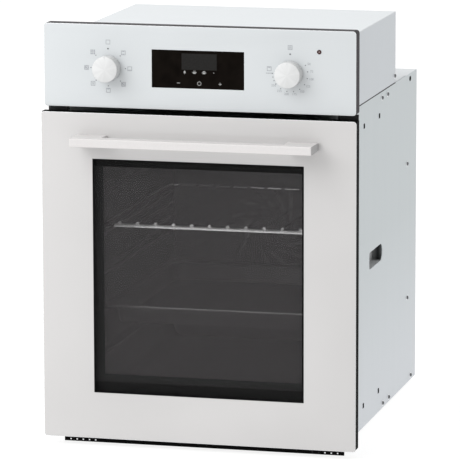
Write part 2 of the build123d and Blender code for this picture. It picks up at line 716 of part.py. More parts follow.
def tube_plane(line):
    """Plane across the start of a level path, with a flat of the tube's section upwards."""
    along = line % 0
    return Plane(line @ 0, x_dir=along.cross(Vector(0, 0, 1)), z_dir=along)


def hairpin(width, setback, height):
    """Heating tube bent into a level hairpin that opens to the rear, in the open part."""
    front = CASE_Y0 + setback
    corners = [(-width / 2, TAIL_Y), (-width / 2, front), (width / 2, front), (width / 2, TAIL_Y)]
    with BuildLine(Plane.XY.offset(height)) as path:
        FilletPolyline(*corners, radius=ELEMENT_BEND_R)
    with BuildSketch(tube_plane(path.line)) as section:
        RegularPolygon(ELEMENT_R, TUBE_SIDE_COUNT, major_radius=False)
    sweep(section.sketch, path=path.line)


# Grill: hairpin under the roof, with both legs through the back wall
with BuildPart() as grill_element:
    hairpin(GRILL_W, GRILL_FRONT, CAVITY_Z1 - GRILL_DROP)
save(grill_element.part, "grill_element")

# Bake element: hairpin under the cavity floor
BAKE_Z = CAVITY_Z0 - CAVITY_SHEET - BAKE_GAP - ELEMENT_R
with BuildPart() as bottom_element:
    hairpin(BAKE_W, BAKE_FRONT, BAKE_Z)
save(bottom_element.part, "bottom_element")

# Oven lamp: pressed housing behind the back wall, bulb and a glass cap inside the cavity
with BuildPart() as lamp_holder:
    with BuildSketch(front_plane(BACK_Y1)):
        with Locations((LAMP_X, LAMP_Z)):
            Rectangle(2 * LAMP_R, 2 * LAMP_R)
    extrude(amount=-LAMP_CUP_D)
    with BuildSketch(front_plane(BACK_Y1)):
        with Locations((LAMP_X, LAMP_Z)):
            Rectangle(2 * LAMP_HOLE_R, 2 * LAMP_HOLE_R)
    extrude(amount=-LAMP_CUP_D / 2, mode=Mode.SUBTRACT)
save(lamp_holder.part, "lamp_holder")

with BuildPart() as lamp_bulb:
    with BuildSketch(front_plane(BACK_Y1 + LAMP_CUP_D / 2)):
        with Locations((LAMP_X, LAMP_Z)):
            RegularPolygon(LAMP_BULB_R, LAMP_SIDE_COUNT)
    extrude(amount=LAMP_BULB_L)
    chamfer(lamp_bulb.edges().group_by(Axis.Y)[0], LAMP_BULB_R / 2)
save(lamp_bulb.part, "lamp_bulb")

with BuildPart() as lamp_lens:
    with BuildSketch(front_plane(CAVITY_Y1)):
        with Locations((LAMP_X, LAMP_Z)):
            RegularPolygon(LAMP_R, LAMP_SIDE_COUNT)
    extrude(amount=LAMP_LENS_D)
    chamfer(lamp_lens.faces().sort_by(Axis.Y)[0].edges(), LAMP_LENS_D / 3)
    with BuildSketch(front_plane(CAVITY_Y1)):
        with Locations((LAMP_X, LAMP_Z)):
            RegularPolygon(LAMP_HOLE_R, LAMP_SIDE_COUNT)
    extrude(amount=LAMP_LENS_D - 2 * LAMP_GLASS_T, mode=Mode.SUBTRACT)
save(lamp_lens.part, "lamp_lens")

# Temperature probe: thin sheath with a flange on the back wall
with BuildPart() as temperature_probe:
    with BuildSketch(front_plane(TAIL_Y)):
        with Locations((-PROBE_X, PROBE_Z)):
            RegularPolygon(PROBE_R, TUBE_SIDE_COUNT)
    extrude(amount=TAIL_Y - CAVITY_Y1 + PROBE_L)
    with BuildSketch(front_plane(CAVITY_Y1)):
        with Locations((-PROBE_X, PROBE_Z)):
            Rectangle(2 * PROBE_FLANGE_R, 2 * PROBE_FLANGE_R)
    extrude(amount=CAVITY_SHEET)
save(temperature_probe.part, "temperature_probe")

# Shelf outline shared by the rack and the tray
SHELF_W = CAVITY_W - 2 * SHELF_SIDE_GAP
SHELF_Y0 = CASE_Y0 + SHELF_FRONT
SHELF_Y1 = FAN_COVER_Y - SHELF_REAR_GAP
SHELF_L = SHELF_Y1 - SHELF_Y0
SHELF_YC = span(SHELF_Y0, SHELF_Y1)

# Wire rack: bent rod frame with wires welded on top
with BuildPart() as wire_rack:
    with BuildLine(Plane.XY.offset(RACK_Z)) as rack_path:
        rack_x = SHELF_W / 2 - RACK_ROD_R
        rack_y0 = SHELF_Y0 + RACK_ROD_R
        rack_y1 = SHELF_Y1 - RACK_ROD_R
        rack_corners = [(rack_x, rack_y0), (rack_x, rack_y1), (-rack_x, rack_y1), (-rack_x, rack_y0)]
        FilletPolyline(*rack_corners, radius=RACK_CORNER_R, close=True)
    with BuildSketch(tube_plane(rack_path.line)):
        RegularPolygon(RACK_ROD_R, TUBE_SIDE_COUNT, major_radius=False)
    sweep(path=rack_path.line)
    with BuildSketch(front_plane(rack_y1)):
        with Locations((0, RACK_Z + RACK_ROD_R)):
            with GridLocations(RACK_PITCH, RACK_PITCH, RACK_WIRE_COUNT, 1):
                RegularPolygon(RACK_WIRE_R, TUBE_SIDE_COUNT, major_radius=False)
    extrude(amount=rack_y1 - rack_y0)
save(wire_rack.part, "wire_rack")

# Baking tray: drawn well with a flat flange whose edge is folded back under it
with BuildPart() as baking_tray:
    well_w = SHELF_W - 2 * TRAY_FLANGE
    well_l = SHELF_L - 2 * TRAY_FLANGE
    tray_top = TRAY_Z + TRAY_HEM_T
    with BuildSketch(Plane.XY.offset(TRAY_Z)):
        with Locations((0, SHELF_YC)):
            RectangleRounded(SHELF_W, SHELF_L, TRAY_R)
    extrude(amount=TRAY_HEM_T)
    with BuildSketch(Plane.XY.offset(tray_top)):
        with Locations((0, SHELF_YC)):
            RectangleRounded(well_w, well_l, TRAY_R)
    extrude(amount=-TRAY_DEPTH, taper=TRAY_TAPER)
    with BuildSketch(Plane.XY.offset(tray_top)):
        with Locations((0, SHELF_YC)):
            RectangleRounded(well_w - 2 * TRAY_SHEET, well_l - 2 * TRAY_SHEET, TRAY_R - TRAY_SHEET)
    extrude(amount=-(TRAY_DEPTH - TRAY_SHEET), taper=TRAY_TAPER, mode=Mode.SUBTRACT)
save(baking_tray.part, "baking_tray")

# Hinge receivers behind the front frame, open to the front
with BuildPart() as hinge_receivers:
    for x in (-HINGE_X, HINGE_X):
        with BuildSketch(front_plane(CASE_Y0)):
            with Locations((x, HINGE_PIN_Z)):
                Rectangle(RECEIVER_W, RECEIVER_H)
        extrude(amount=-RECEIVER_D)
        with BuildSketch(front_plane(CASE_Y0)):
            with Locations((x, HINGE_PIN_Z)):
                Rectangle(RECEIVER_W - 2 * SHEET, RECEIVER_H - 2 * SHEET)
        extrude(amount=-(RECEIVER_D - SHEET), mode=Mode.SUBTRACT)
save(hinge_receivers.part, "hinge_receivers")

# Hinge arms: flat hooks through the frame slots, each with an eye for its pin
with BuildPart() as hinge_arms:
    for x in (-HINGE_X, HINGE_X):
        arm_end = CASE_Y0 + HINGE_ARM_REACH
        with BuildSketch(Plane.YZ.offset(x - HINGE_ARM_T / 2)):
            with Locations((HINGE_Y, HINGE_PIN_Z)):
                Circle(HINGE_EYE_R)
            with Locations((span(HINGE_Y, arm_end), HINGE_PIN_Z)):
                Rectangle(arm_end - HINGE_Y, 2 * HINGE_EYE_R)
            with Locations((CASE_Y0 + HINGE_HOOK_L / 2, ARM_Z0 - HINGE_HOOK_H / 2)):
                Rectangle(HINGE_HOOK_L, HINGE_HOOK_H)
            with Locations((HINGE_Y, HINGE_PIN_Z)):
                Circle(HINGE_PIN_R + PIN_CLEARANCE, mode=Mode.SUBTRACT)
        extrude(amount=HINGE_ARM_T)
save(hinge_arms.part, "hinge_arms")

# Hinge cases in the door: two ears, a web and the riveted pin that each arm turns on
EAR_IN = HINGE_ARM_T / 2 + HINGE_EAR_GAP
EAR_OUT = EAR_IN + HINGE_EAR_T
CASE_FRONT_Y = DOOR_FRAME_Y + DOOR_WALL
CASE_BACK_Y = DOOR_BACK_Y - DOOR_WALL
CASE_Z0 = HINGE_PIN_Z - HINGE_EYE_R - HINGE_PIN_R
with BuildPart() as hinge_cases:
    for x in (-HINGE_X, HINGE_X):
        with BuildSketch(Plane.YZ.offset(x - EAR_OUT)):
            with Locations((span(CASE_FRONT_Y, CASE_BACK_Y), CASE_Z0 + HINGE_CASE_H / 2)):
                Rectangle(CASE_BACK_Y - CASE_FRONT_Y, HINGE_CASE_H)
        extrude(amount=2 * EAR_OUT)
        block(
            (x - EAR_IN, x + EAR_IN),
            (CASE_FRONT_Y + HINGE_WEB_T, CASE_BACK_Y),
            (CASE_Z0, CASE_Z0 + HINGE_CASE_H),
            Mode.SUBTRACT,
        )
        with BuildSketch(Plane.YZ.offset(x - EAR_IN)):
            with Locations((HINGE_Y, HINGE_PIN_Z)):
                Circle(HINGE_PIN_R)
        extrude(amount=2 * EAR_IN)
save(hinge_cases.part, "hinge_cases")

# Outer door pane with rounded corners
HANDLE_Z = DOOR_Z1 - HANDLE_DROP - HANDLE_H / 2
with BuildPart() as door_glass:
    with BuildSketch(front_plane(DOOR_FRAME_Y)):
        with Locations((0, DOOR_ZC)):
            RectangleRounded(DOOR_W, DOOR_H, DOOR_CORNER_R)
    extrude(amount=DOOR_GLASS_T)
save(door_glass.part, "door_glass")

# Door stiles: C-channels behind the glass, capped on top and slotted for the hinge arms
STILE_X1 = DOOR_W / 2 - DOOR_EDGE
STILE_X0 = HINGE_X - HINGE_MARGIN
STILE_W = STILE_X1 - STILE_X0
STILE_Z0 = DOOR_BOTTOM + STILE_RISE
STILE_Z1 = DOOR_Z1 - DOOR_EDGE
for side, hand in SIDES:
    with BuildPart() as door_stile:
        stile_x = span(STILE_X0, STILE_X1)
        with BuildSketch(Plane.XY.offset(STILE_Z0)):
            with Locations((side * stile_x, span(DOOR_FRAME_Y, DOOR_BACK_Y))):
                Rectangle(STILE_W, DOOR_FRAME_D)
        extrude(amount=STILE_Z1 - STILE_Z0)
        with BuildSketch(Plane.XY.offset(STILE_Z0)):
            with Locations((side * (stile_x - DOOR_WALL), span(DOOR_FRAME_Y, DOOR_BACK_Y))):
                Rectangle(STILE_W, DOOR_FRAME_D - 2 * DOOR_WALL)
        extrude(amount=STILE_Z1 - STILE_Z0 - DOOR_WALL, mode=Mode.SUBTRACT)
        with BuildSketch(front_plane(DOOR_BACK_Y)):
            with Locations((side * HINGE_X, span(STILE_Z0, ARM_Z1 + HINGE_SLOT_ROOM))):
                Rectangle(2 * EAR_IN + HINGE_EAR_T, ARM_Z1 + HINGE_SLOT_ROOM - STILE_Z0)
        extrude(amount=DOOR_WALL, mode=Mode.SUBTRACT)
    save(door_stile.part, f"door_stile_{hand}")

# Door rails between the stiles: hollow bars, slit for the middle pane
PANE_Y1 = PANE_Y + PANE_T
RAIL_TOP_Z0 = STILE_Z1 - RAIL_TOP_H
RAIL_BOTTOM_Z1 = STILE_Z0 + RAIL_BOTTOM_H


def hollow_rail(z_low, z_high):
    """Rectangular tube across the door between two heights, in the open part."""
    with BuildSketch(Plane.YZ.offset(-STILE_X0)) as section:
        with Locations((span(DOOR_FRAME_Y, DOOR_BACK_Y), span(z_low, z_high))):
            Rectangle(DOOR_FRAME_D, z_high - z_low)
            Rectangle(DOOR_FRAME_D - 2 * DOOR_WALL, z_high - z_low - 2 * DOOR_WALL, mode=Mode.SUBTRACT)
    extrude(section.sketch, amount=2 * STILE_X0)


PANE_SLIT_Y = (PANE_Y - PANE_GAP, PANE_Y1 + PANE_GAP)
PANE_X = STILE_X0 - DOOR_WALL
with BuildPart() as door_top_rail:
    hollow_rail(RAIL_TOP_Z0, STILE_Z1)
    block((-PANE_X, PANE_X), PANE_SLIT_Y, (RAIL_TOP_Z0, RAIL_TOP_Z0 + DOOR_WALL), Mode.SUBTRACT)
    with BuildSketch(Plane.XY.offset(STILE_Z1)):
        with Locations((0, span(DOOR_FRAME_Y, DOOR_BACK_Y))):
            with GridLocations(2 * STILE_X0 / RAIL_VENT_COUNT, DOOR_FRAME_D, RAIL_VENT_COUNT, 1):
                Rectangle(RAIL_VENT_L, RAIL_VENT_W)
    extrude(amount=-DOOR_WALL, mode=Mode.SUBTRACT)
save(door_top_rail.part, "door_top_rail")

with BuildPart() as door_bottom_rail:
    hollow_rail(STILE_Z0, RAIL_BOTTOM_Z1)
    block((-PANE_X, PANE_X), PANE_SLIT_Y, (RAIL_BOTTOM_Z1 - DOOR_WALL, RAIL_BOTTOM_Z1), Mode.SUBTRACT)
    with BuildSketch(Plane.XY.offset(STILE_Z0)):
        with Locations((0, span(DOOR_FRAME_Y, DOOR_BACK_Y))):
            with GridLocations(2 * STILE_X0 / RAIL_VENT_COUNT, DOOR_FRAME_D, RAIL_VENT_COUNT, 1):
                Rectangle(RAIL_VENT_L, RAIL_VENT_W)
    extrude(amount=DOOR_WALL, mode=Mode.SUBTRACT)
save(door_bottom_rail.part, "door_bottom_rail")

# Middle pane, tucked into both rails
PANE_Z0 = RAIL_BOTTOM_Z1 - PANE_TUCK
PANE_Z1 = RAIL_TOP_Z0 + PANE_TUCK
with BuildPart() as door_middle_glass:
    with BuildSketch(front_plane(PANE_Y1)):
        with Locations((0, span(PANE_Z0, PANE_Z1))):
            Rectangle(2 * PANE_X - 2 * PANE_GAP, PANE_Z1 - PANE_Z0)
    extrude(amount=PANE_T)
save(door_middle_glass.part, "door_middle_glass")

# Inner pane, flat on the back of stiles and rails
INNER_W = 2 * (STILE_X0 + INNER_PANE_LAP)
INNER_Z0 = RAIL_BOTTOM_Z1 - INNER_PANE_LAP
INNER_Z1 = RAIL_TOP_Z0 + RAIL_SEAT
with BuildPart() as door_inner_glass:
    with BuildSketch(front_plane(INNER_BACK_Y)):
        with Locations((0, span(INNER_Z0, INNER_Z1))):
            Rectangle(INNER_W, INNER_Z1 - INNER_Z0)
    extrude(amount=INNER_PANE_T)
save(door_inner_glass.part, "door_inner_glass")

# Handle: one moulding, a bar on two long feet that thin towards the door
HANDLE_Y = DOOR_Y - HANDLE_REACH
with BuildPart() as door_handle:
    with BuildSketch(Plane.YZ.offset(-HANDLE_L / 2)):
        with BuildLine():
            Polyline(
                (HANDLE_Y, HANDLE_Z - HANDLE_H / 2),
                (HANDLE_Y, HANDLE_Z + HANDLE_H / 2),
                (HANDLE_Y + HANDLE_BAR_D, HANDLE_Z + HANDLE_H / 2),
                (DOOR_Y, HANDLE_Z + HANDLE_ROOT_H / 2),
                (DOOR_Y, HANDLE_Z - HANDLE_ROOT_H / 2),
                (HANDLE_Y + HANDLE_BAR_D, HANDLE_Z - HANDLE_H / 2),
                close=True,
            )
        make_face()
    extrude(amount=HANDLE_L)
    gap_x = HANDLE_L / 2 - HANDLE_FOOT_L
    block(
        (-gap_x, gap_x),
        (HANDLE_Y + HANDLE_BAR_D, DOOR_Y),
        (HANDLE_Z - HANDLE_H, HANDLE_Z + HANDLE_H),
        Mode.SUBTRACT,
    )
    front_face = door_handle.faces().sort_by(Axis.Y)[0]
    fillet(front_face.edges(), HANDLE_EDGE_R)
save(door_handle.part, "door_handle")

# Control panel: printed glass with a display cut-out, shaft holes and pilot hole
KNOB_SPOTS = [(-KNOB_X, KNOB_Z), (KNOB_X, KNOB_Z)]
with BuildPart() as control_glass:
    with BuildSketch(front_plane(CARRIER_Y)):
        with Locations((0, PANEL_ZC)):
            RectangleRounded(PANEL_W, PANEL_H, PANEL_R)
        with Locations((DISPLAY_X, DISPLAY_Z)):
            Rectangle(DISPLAY_W, DISPLAY_H, mode=Mode.SUBTRACT)
        with Locations(*KNOB_SPOTS):
            Rectangle(BUSH_W, BUSH_W, mode=Mode.SUBTRACT)
        with Locations((PILOT_X, PILOT_Z)):
            Circle(PILOT_R, mode=Mode.SUBTRACT)
    extrude(amount=PANEL_GLASS_T)
save(control_glass.part, "control_glass")

# Display window, flush in the panel, seated on the carrier
with BuildPart() as display_window:
    with BuildSketch(front_plane(CARRIER_Y)):
        with Locations((DISPLAY_X, DISPLAY_Z)):
            Rectangle(DISPLAY_W, DISPLAY_H)
    extrude(amount=PANEL_GLASS_T)
save(display_window.part, "display_window")

# Panel carrier: moulded tray with a rib frame that stands against the control box
with BuildPart() as control_carrier:
    with BuildSketch(front_plane(CASE_Y0)):
        with Locations((0, PANEL_ZC)):
            RectangleRounded(PANEL_W, PANEL_H, PANEL_R)
    extrude(amount=CASE_Y0 - CARRIER_Y)
    with BuildSketch(front_plane(CASE_Y0)):
        with Locations((0, PANEL_ZC)):
            Rectangle(PANEL_W - 2 * CARRIER_WALL, PANEL_H - 2 * CARRIER_WALL)
    extrude(amount=CASE_Y0 - CARRIER_Y - CARRIER_WALL, mode=Mode.SUBTRACT)
    with BuildSketch(front_plane(CARRIER_Y + CARRIER_WALL)):
        for rib in both_sides(SIDE_X - CARRIER_RIB, SIDE_X):
            with Locations((span(*rib), span(PANEL_Z0, BOX_Z1))):
                Rectangle(CARRIER_RIB, BOX_Z1 - PANEL_Z0)
        with Locations((0, BOX_Z1 - CARRIER_RIB / 2)):
            Rectangle(CASE_W, CARRIER_RIB)
    extrude(amount=-(CASE_Y0 - CARRIER_Y - CARRIER_WALL))
    with BuildSketch(front_plane(CARRIER_Y)):
        with Locations((DISPLAY_X, DISPLAY_Z)):
            Rectangle(DISPLAY_W - 2 * DISPLAY_LIP, DISPLAY_H - 2 * DISPLAY_LIP)
        with Locations(*KNOB_SPOTS):
            Rectangle(BUSH_W, BUSH_W)
        with Locations((PILOT_X, PILOT_Z)):
            Rectangle(2 * PILOT_R, 2 * PILOT_R)
    extrude(amount=-CARRIER_WALL, mode=Mode.SUBTRACT)
save(control_carrier.part, "control_carrier")

# Clock module: board with a display block that fills the carrier's opening
with BuildPart() as display_module:
    with BuildSketch(front_plane(CARRIER_Y + CARRIER_WALL)):
        with Locations((DISPLAY_X, DISPLAY_Z)):
            Rectangle(DISPLAY_W, DISPLAY_H)
    extrude(amount=-DISPLAY_BOARD_T)
    with BuildSketch(front_plane(CARRIER_Y + CARRIER_WALL)):
        with Locations((DISPLAY_X, DISPLAY_Z)):
            Rectangle(DISPLAY_W - 2 * DISPLAY_LIP, DISPLAY_H - 2 * DISPLAY_LIP)
    extrude(amount=CARRIER_WALL)
    with BuildSketch(front_plane(CARRIER_Y + CARRIER_WALL)):
        with Locations((DISPLAY_X, DISPLAY_Z)):
            with GridLocations(DISPLAY_W / 3, DISPLAY_H / 2, 3, 1):
                Rectangle(DISPLAY_W / 4, DISPLAY_H / 2)
    extrude(amount=-DISPLAY_MODULE_D)
save(display_module.part, "display_module")

# Pilot lamp: round lens in the glass, square neck in the carrier and a clip behind it
with BuildPart() as pilot_lamp:
    with BuildSketch(front_plane(PANEL_Y)):
        with Locations((PILOT_X, PILOT_Z)):
            Circle(PILOT_R)
    extrude(amount=-PANEL_GLASS_T)
    with BuildSketch(front_plane(CARRIER_Y)):
        with Locations((PILOT_X, PILOT_Z)):
            Rectangle(2 * PILOT_R, 2 * PILOT_R)
    extrude(amount=-(PILOT_L - PANEL_GLASS_T))
    with BuildSketch(front_plane(CARRIER_Y + CARRIER_WALL)):
        with Locations((PILOT_X, PILOT_Z)):
            Rectangle(2 * PILOT_COLLAR_R, 2 * PILOT_COLLAR_R)
    extrude(amount=-PILOT_COLLAR_T)
save(pilot_lamp.part, "pilot_lamp")

# Function switch: stacked square cam switch with terminal tabs
SWITCH_Y = CARRIER_Y + CARRIER_WALL
with BuildPart() as selector_switch:
    with BuildSketch(front_plane(SWITCH_Y)):
        with Locations((-KNOB_X, KNOB_Z)):
            Rectangle(SWITCH_W, SWITCH_W)
    extrude(amount=-SWITCH_D)
    with BuildSketch(front_plane(SWITCH_Y)):
        with Locations((-KNOB_X, KNOB_Z)):
            Rectangle(BUSH_W, BUSH_W)
    extrude(amount=CARRIER_WALL)
    with BuildSketch(Plane.XY.offset(KNOB_Z - SWITCH_W / 2)):
        with Locations((-KNOB_X, SWITCH_Y + SWITCH_D / 2)):
            with GridLocations(SWITCH_W / 4, SWITCH_D / 3, 3, 2):
                Rectangle(SWITCH_TAB_L / 2, FAN_BLADE_T)
    extrude(amount=-SWITCH_TAB_L)
    with BuildSketch(front_plane(CARRIER_Y)):
        with Locations((-KNOB_X, KNOB_Z)):
            Circle(SHAFT_R + SHAFT_CLEARANCE)
    extrude(amount=-(CARRIER_WALL + SWITCH_D / 2), mode=Mode.SUBTRACT)
save(selector_switch.part, "selector_switch")

# Thermostat: flat ceramic body with a raised bellows box
with BuildPart() as thermostat:
    with BuildSketch(front_plane(SWITCH_Y)):
        with Locations((KNOB_X, KNOB_Z)):
            Rectangle(2 * THERMOSTAT_R, 2 * THERMOSTAT_R)
    extrude(amount=-THERMOSTAT_D)
    with BuildSketch(front_plane(SWITCH_Y + THERMOSTAT_D)):
        with Locations((KNOB_X, KNOB_Z)):
            Rectangle(2 * THERMOSTAT_R, THERMOSTAT_R)
    extrude(amount=-THERMOSTAT_D / 2)
    with BuildSketch(front_plane(SWITCH_Y)):
        with Locations((KNOB_X, KNOB_Z)):
            Rectangle(BUSH_W, BUSH_W)
    extrude(amount=CARRIER_WALL)
    with BuildSketch(front_plane(CARRIER_Y)):
        with Locations((KNOB_X, KNOB_Z)):
            Circle(SHAFT_R + SHAFT_CLEARANCE)
    extrude(amount=-(CARRIER_WALL + THERMOSTAT_D), mode=Mode.SUBTRACT)
save(thermostat.part, "thermostat")

# Knobs: turned discs on their shafts, with a pointer notch at the top of the rim
KNOB_Y1 = PANEL_Y - KNOB_GAP
KNOB_Y0 = KNOB_Y1 - KNOB_L
for name, x in (("function_knob", -KNOB_X), ("thermostat_knob", KNOB_X)):
    with BuildPart() as knob:
        with BuildSketch(front_plane(KNOB_Y1)):
            with Locations((x, KNOB_Z)):
                Circle(KNOB_R)
        extrude(amount=KNOB_L)
        chamfer(knob.edges().group_by(Axis.Y)[0], KNOB_EDGE)
        with BuildSketch(front_plane(KNOB_Y1)):
            with Locations((x, KNOB_Z)):
                Circle(SHAFT_R)
        extrude(amount=SHAFT_SEAT, mode=Mode.SUBTRACT)
        with BuildSketch(front_plane(KNOB_Y0)):
            with Locations((x, KNOB_Z + KNOB_R - KNOB_MARK_L / 2)):
                Rectangle(KNOB_MARK_W, KNOB_MARK_L)
        extrude(amount=-KNOB_MARK_D, mode=Mode.SUBTRACT)
    save(knob.part, name)

# Knob shafts, running in the switch and thermostat bushes
for name, x in (("selector_shaft", -KNOB_X), ("thermostat_shaft", KNOB_X)):
    with BuildPart() as shaft:
        with BuildSketch(front_plane(KNOB_Y1 - SHAFT_SEAT)):
            with Locations((x, KNOB_Z)):
                Circle(SHAFT_R)
        extrude(amount=-(SWITCH_Y + THERMOSTAT_D / 2 - KNOB_Y1 + SHAFT_SEAT))
    save(shaft.part, name)

# Cooling blower: drum housing for a long drum rotor, with a flared duct to the front
DRUM_R = ROTOR_R + ROTOR_GAP + SHEET
DRUM_TURN = 180 / DRUM_SIDE_COUNT
BLOWER_Z = DECK_Z1 + DRUM_R
DUCT_Y0 = CASE_Y0 + DUCT_FRONT_GAP
DUCT_Y1 = BLOWER_Y - DRUM_R + SHEET
DUCT_FRONT_X = LINER_X - 4 * SHEET
THROAT_Y1 = BLOWER_Y - ROTOR_R + ROTOR_GAP
BUSH_L = 2 * SHEET


def duct_plan(height, inset, rear):
    """Flared outline of the duct seen from above, narrowed by inset."""
    front_x = DUCT_FRONT_X - inset
    rear_x = BLOWER_L / 2 - inset
    with BuildSketch(Plane.XY.offset(height), mode=Mode.PRIVATE) as plan:
        with BuildLine():
            Polyline((-front_x, DUCT_Y0), (front_x, DUCT_Y0), (rear_x, rear), (-rear_x, rear), close=True)
        make_face()
    return plan.sketch


with BuildPart() as blower_housing:
    with BuildSketch(Plane.YZ.offset(-BLOWER_L / 2)):
        with Locations((BLOWER_Y, BLOWER_Z)):
            RegularPolygon(DRUM_R, DRUM_SIDE_COUNT, major_radius=False, rotation=DRUM_TURN)
    extrude(amount=BLOWER_L)
    with BuildSketch(Plane.YZ.offset(-BLOWER_L / 2 + SHEET)):
        with Locations((BLOWER_Y, BLOWER_Z)):
            RegularPolygon(DRUM_R - SHEET, DRUM_SIDE_COUNT, major_radius=False, rotation=DRUM_TURN)
    extrude(amount=BLOWER_L - 2 * SHEET, mode=Mode.SUBTRACT)
    block(
        (-BLOWER_L / 2 + 2 * SHEET, BLOWER_L / 2 - 2 * SHEET),
        (BLOWER_Y, BLOWER_Y + DRUM_R),
        (BLOWER_Z + ROTOR_GAP, BLOWER_Z + DRUM_R),
        Mode.SUBTRACT,
    )
    block(
        (-BLOWER_L / 2 + SHEET, BLOWER_L / 2 - SHEET),
        (BLOWER_Y - DRUM_R, THROAT_Y1),
        (DECK_Z1, DECK_Z1 + DUCT_H),
        Mode.SUBTRACT,
    )
    extrude(duct_plan(DECK_Z1 + DUCT_H, 0, DUCT_Y1), amount=SHEET)
    extrude(duct_plan(DECK_Z1, 0, THROAT_Y1), amount=DUCT_H)
    extrude(duct_plan(DECK_Z1, SHEET, THROAT_Y1), amount=DUCT_H, mode=Mode.SUBTRACT)
    with BuildSketch(Plane.YZ.offset(-BLOWER_L / 2 - BUSH_L)):
        with Locations((BLOWER_Y, BLOWER_Z)):
            RegularPolygon(BLOWER_BUSH_R, HEX_SIDE_COUNT)
    extrude(amount=BUSH_L)
    with BuildSketch(Plane.YZ.offset(-BLOWER_L / 2 - BUSH_L)):
        with Locations((BLOWER_Y, BLOWER_Z)):
            Circle(BLOWER_SHAFT_R + SHAFT_CLEARANCE)
    extrude(amount=BLOWER_L + 2 * BUSH_L, mode=Mode.SUBTRACT)
save(blower_housing.part, "blower_housing")

# Blower motor on the right end of the drum: laminated stack with a coil and a bearing bridge
with BuildPart() as blower_motor:
    with BuildSketch(Plane.YZ.offset(BLOWER_L / 2)):
        with Locations((BLOWER_Y, BLOWER_Z)):
            Rectangle(BLOWER_MOTOR_W, BLOWER_MOTOR_W)
        with Locations((BLOWER_Y + BLOWER_MOTOR_W, BLOWER_Z)):
            Rectangle(BLOWER_MOTOR_W, BLOWER_MOTOR_W / 2)
    extrude(amount=BLOWER_MOTOR_L / 2)
    with BuildSketch(Plane.YZ.offset(BLOWER_L / 2 + BLOWER_MOTOR_L / 8)):
        with Locations((BLOWER_Y + BLOWER_MOTOR_W, BLOWER_Z)):
            Rectangle(COIL_HEIGHT * BLOWER_MOTOR_W, COIL_SPREAD * BLOWER_MOTOR_W)
    extrude(amount=BLOWER_MOTOR_L / 4)
    with BuildSketch(Plane.YZ.offset(BLOWER_L / 2 + BLOWER_MOTOR_L / 2)):
        with Locations((BLOWER_Y, BLOWER_Z)):
            Rectangle(BLOWER_MOTOR_W, BLOWER_MOTOR_W / 3)
    extrude(amount=BLOWER_MOTOR_L / 2)
    with BuildSketch(Plane.YZ.offset(BLOWER_L / 2)):
        with Locations((BLOWER_Y, BLOWER_Z)):
            Circle(BLOWER_SHAFT_R + SHAFT_CLEARANCE)
    extrude(amount=2 * BLOWER_MOTOR_L / 3, mode=Mode.SUBTRACT)
save(blower_motor.part, "blower_motor")

# Blower rotor: end discs, a ring of long blades and a through shaft
ROTOR_X = BLOWER_L / 2 - ROTOR_END_GAP
with BuildPart() as blower_rotor:
    for start in (-ROTOR_X, ROTOR_X - SHEET):
        with BuildSketch(Plane.YZ.offset(start)):
            with Locations((BLOWER_Y, BLOWER_Z)):
                RegularPolygon(ROTOR_R, ROTOR_BLADE_COUNT)
        extrude(amount=SHEET)
    with BuildSketch(Plane.YZ.offset(-ROTOR_X)):
        with Locations((BLOWER_Y, BLOWER_Z)):
            with PolarLocations(ROTOR_R - ROTOR_BLADE_D / 2 - ROTOR_BLADE_T, ROTOR_BLADE_COUNT):
                Rectangle(ROTOR_BLADE_D, ROTOR_BLADE_T, rotation=FAN_SLOT_TURN)
    extrude(amount=2 * ROTOR_X)
    with BuildSketch(Plane.YZ.offset(-BLOWER_L / 2 - BUSH_L)):
        with Locations((BLOWER_Y, BLOWER_Z)):
            Circle(BLOWER_SHAFT_R)
    extrude(amount=BLOWER_L + BUSH_L + BLOWER_MOTOR_L / 2)
save(blower_rotor.part, "blower_rotor")

# Terminal block on the cooling deck, near the cable gland
with BuildPart() as terminal_block:
    terminal_y = BOX_Y1 - BACK_FLANGE_D - TERMINAL_D
    with BuildSketch(Plane.XY.offset(DECK_Z1)):
        with Locations((-GLAND_X, terminal_y)):
            Rectangle(TERMINAL_W, TERMINAL_D)
    extrude(amount=TERMINAL_H)
    with BuildSketch(Plane.XY.offset(DECK_Z1 + TERMINAL_H)):
        with Locations((-GLAND_X, terminal_y)):
            with GridLocations(TERMINAL_W / TERMINAL_WAY_COUNT, TERMINAL_D, TERMINAL_WAY_COUNT, 1):
                Rectangle(TERMINAL_POCKET * TERMINAL_W / TERMINAL_WAY_COUNT, TERMINAL_POCKET * TERMINAL_D)
    extrude(amount=-TERMINAL_H / 2, mode=Mode.SUBTRACT)
save(terminal_block.part, "terminal_block")

# Cable gland: square-necked sleeve with a six-sided flange outside and a nut inside
with BuildPart() as cable_gland:
    with BuildSketch(front_plane(BOX_Y1)):
        with Locations((-GLAND_X, GLAND_Z)):
            RegularPolygon(GLAND_FLANGE_R, HEX_SIDE_COUNT)
    extrude(amount=-GLAND_FLANGE_T)
    with BuildSketch(front_plane(BOX_Y1)):
        with Locations((-GLAND_X, GLAND_Z)):
            Rectangle(GLAND_BODY_W, GLAND_BODY_W)
    extrude(amount=SHEET)
    with BuildSketch(front_plane(BOX_Y1 - SHEET)):
        with Locations((-GLAND_X, GLAND_Z)):
            RegularPolygon(GLAND_FLANGE_R, HEX_SIDE_COUNT)
    extrude(amount=GLAND_NUT_T)
    with BuildSketch(front_plane(BOX_Y1 + GLAND_FLANGE_T)):
        with Locations((-GLAND_X, GLAND_Z)):
            Circle(GLAND_BORE_R)
    extrude(amount=GLAND_FLANGE_T + SHEET + GLAND_NUT_T, mode=Mode.SUBTRACT)
save(cable_gland.part, "cable_gland")
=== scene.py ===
"""Looks of a built-in wall oven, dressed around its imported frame.

Metres throughout. X runs to the user's right, Y into the niche, Z up; the door faces -Y.
"""

import math

import bmesh
import bpy
from mathutils import Matrix, Vector


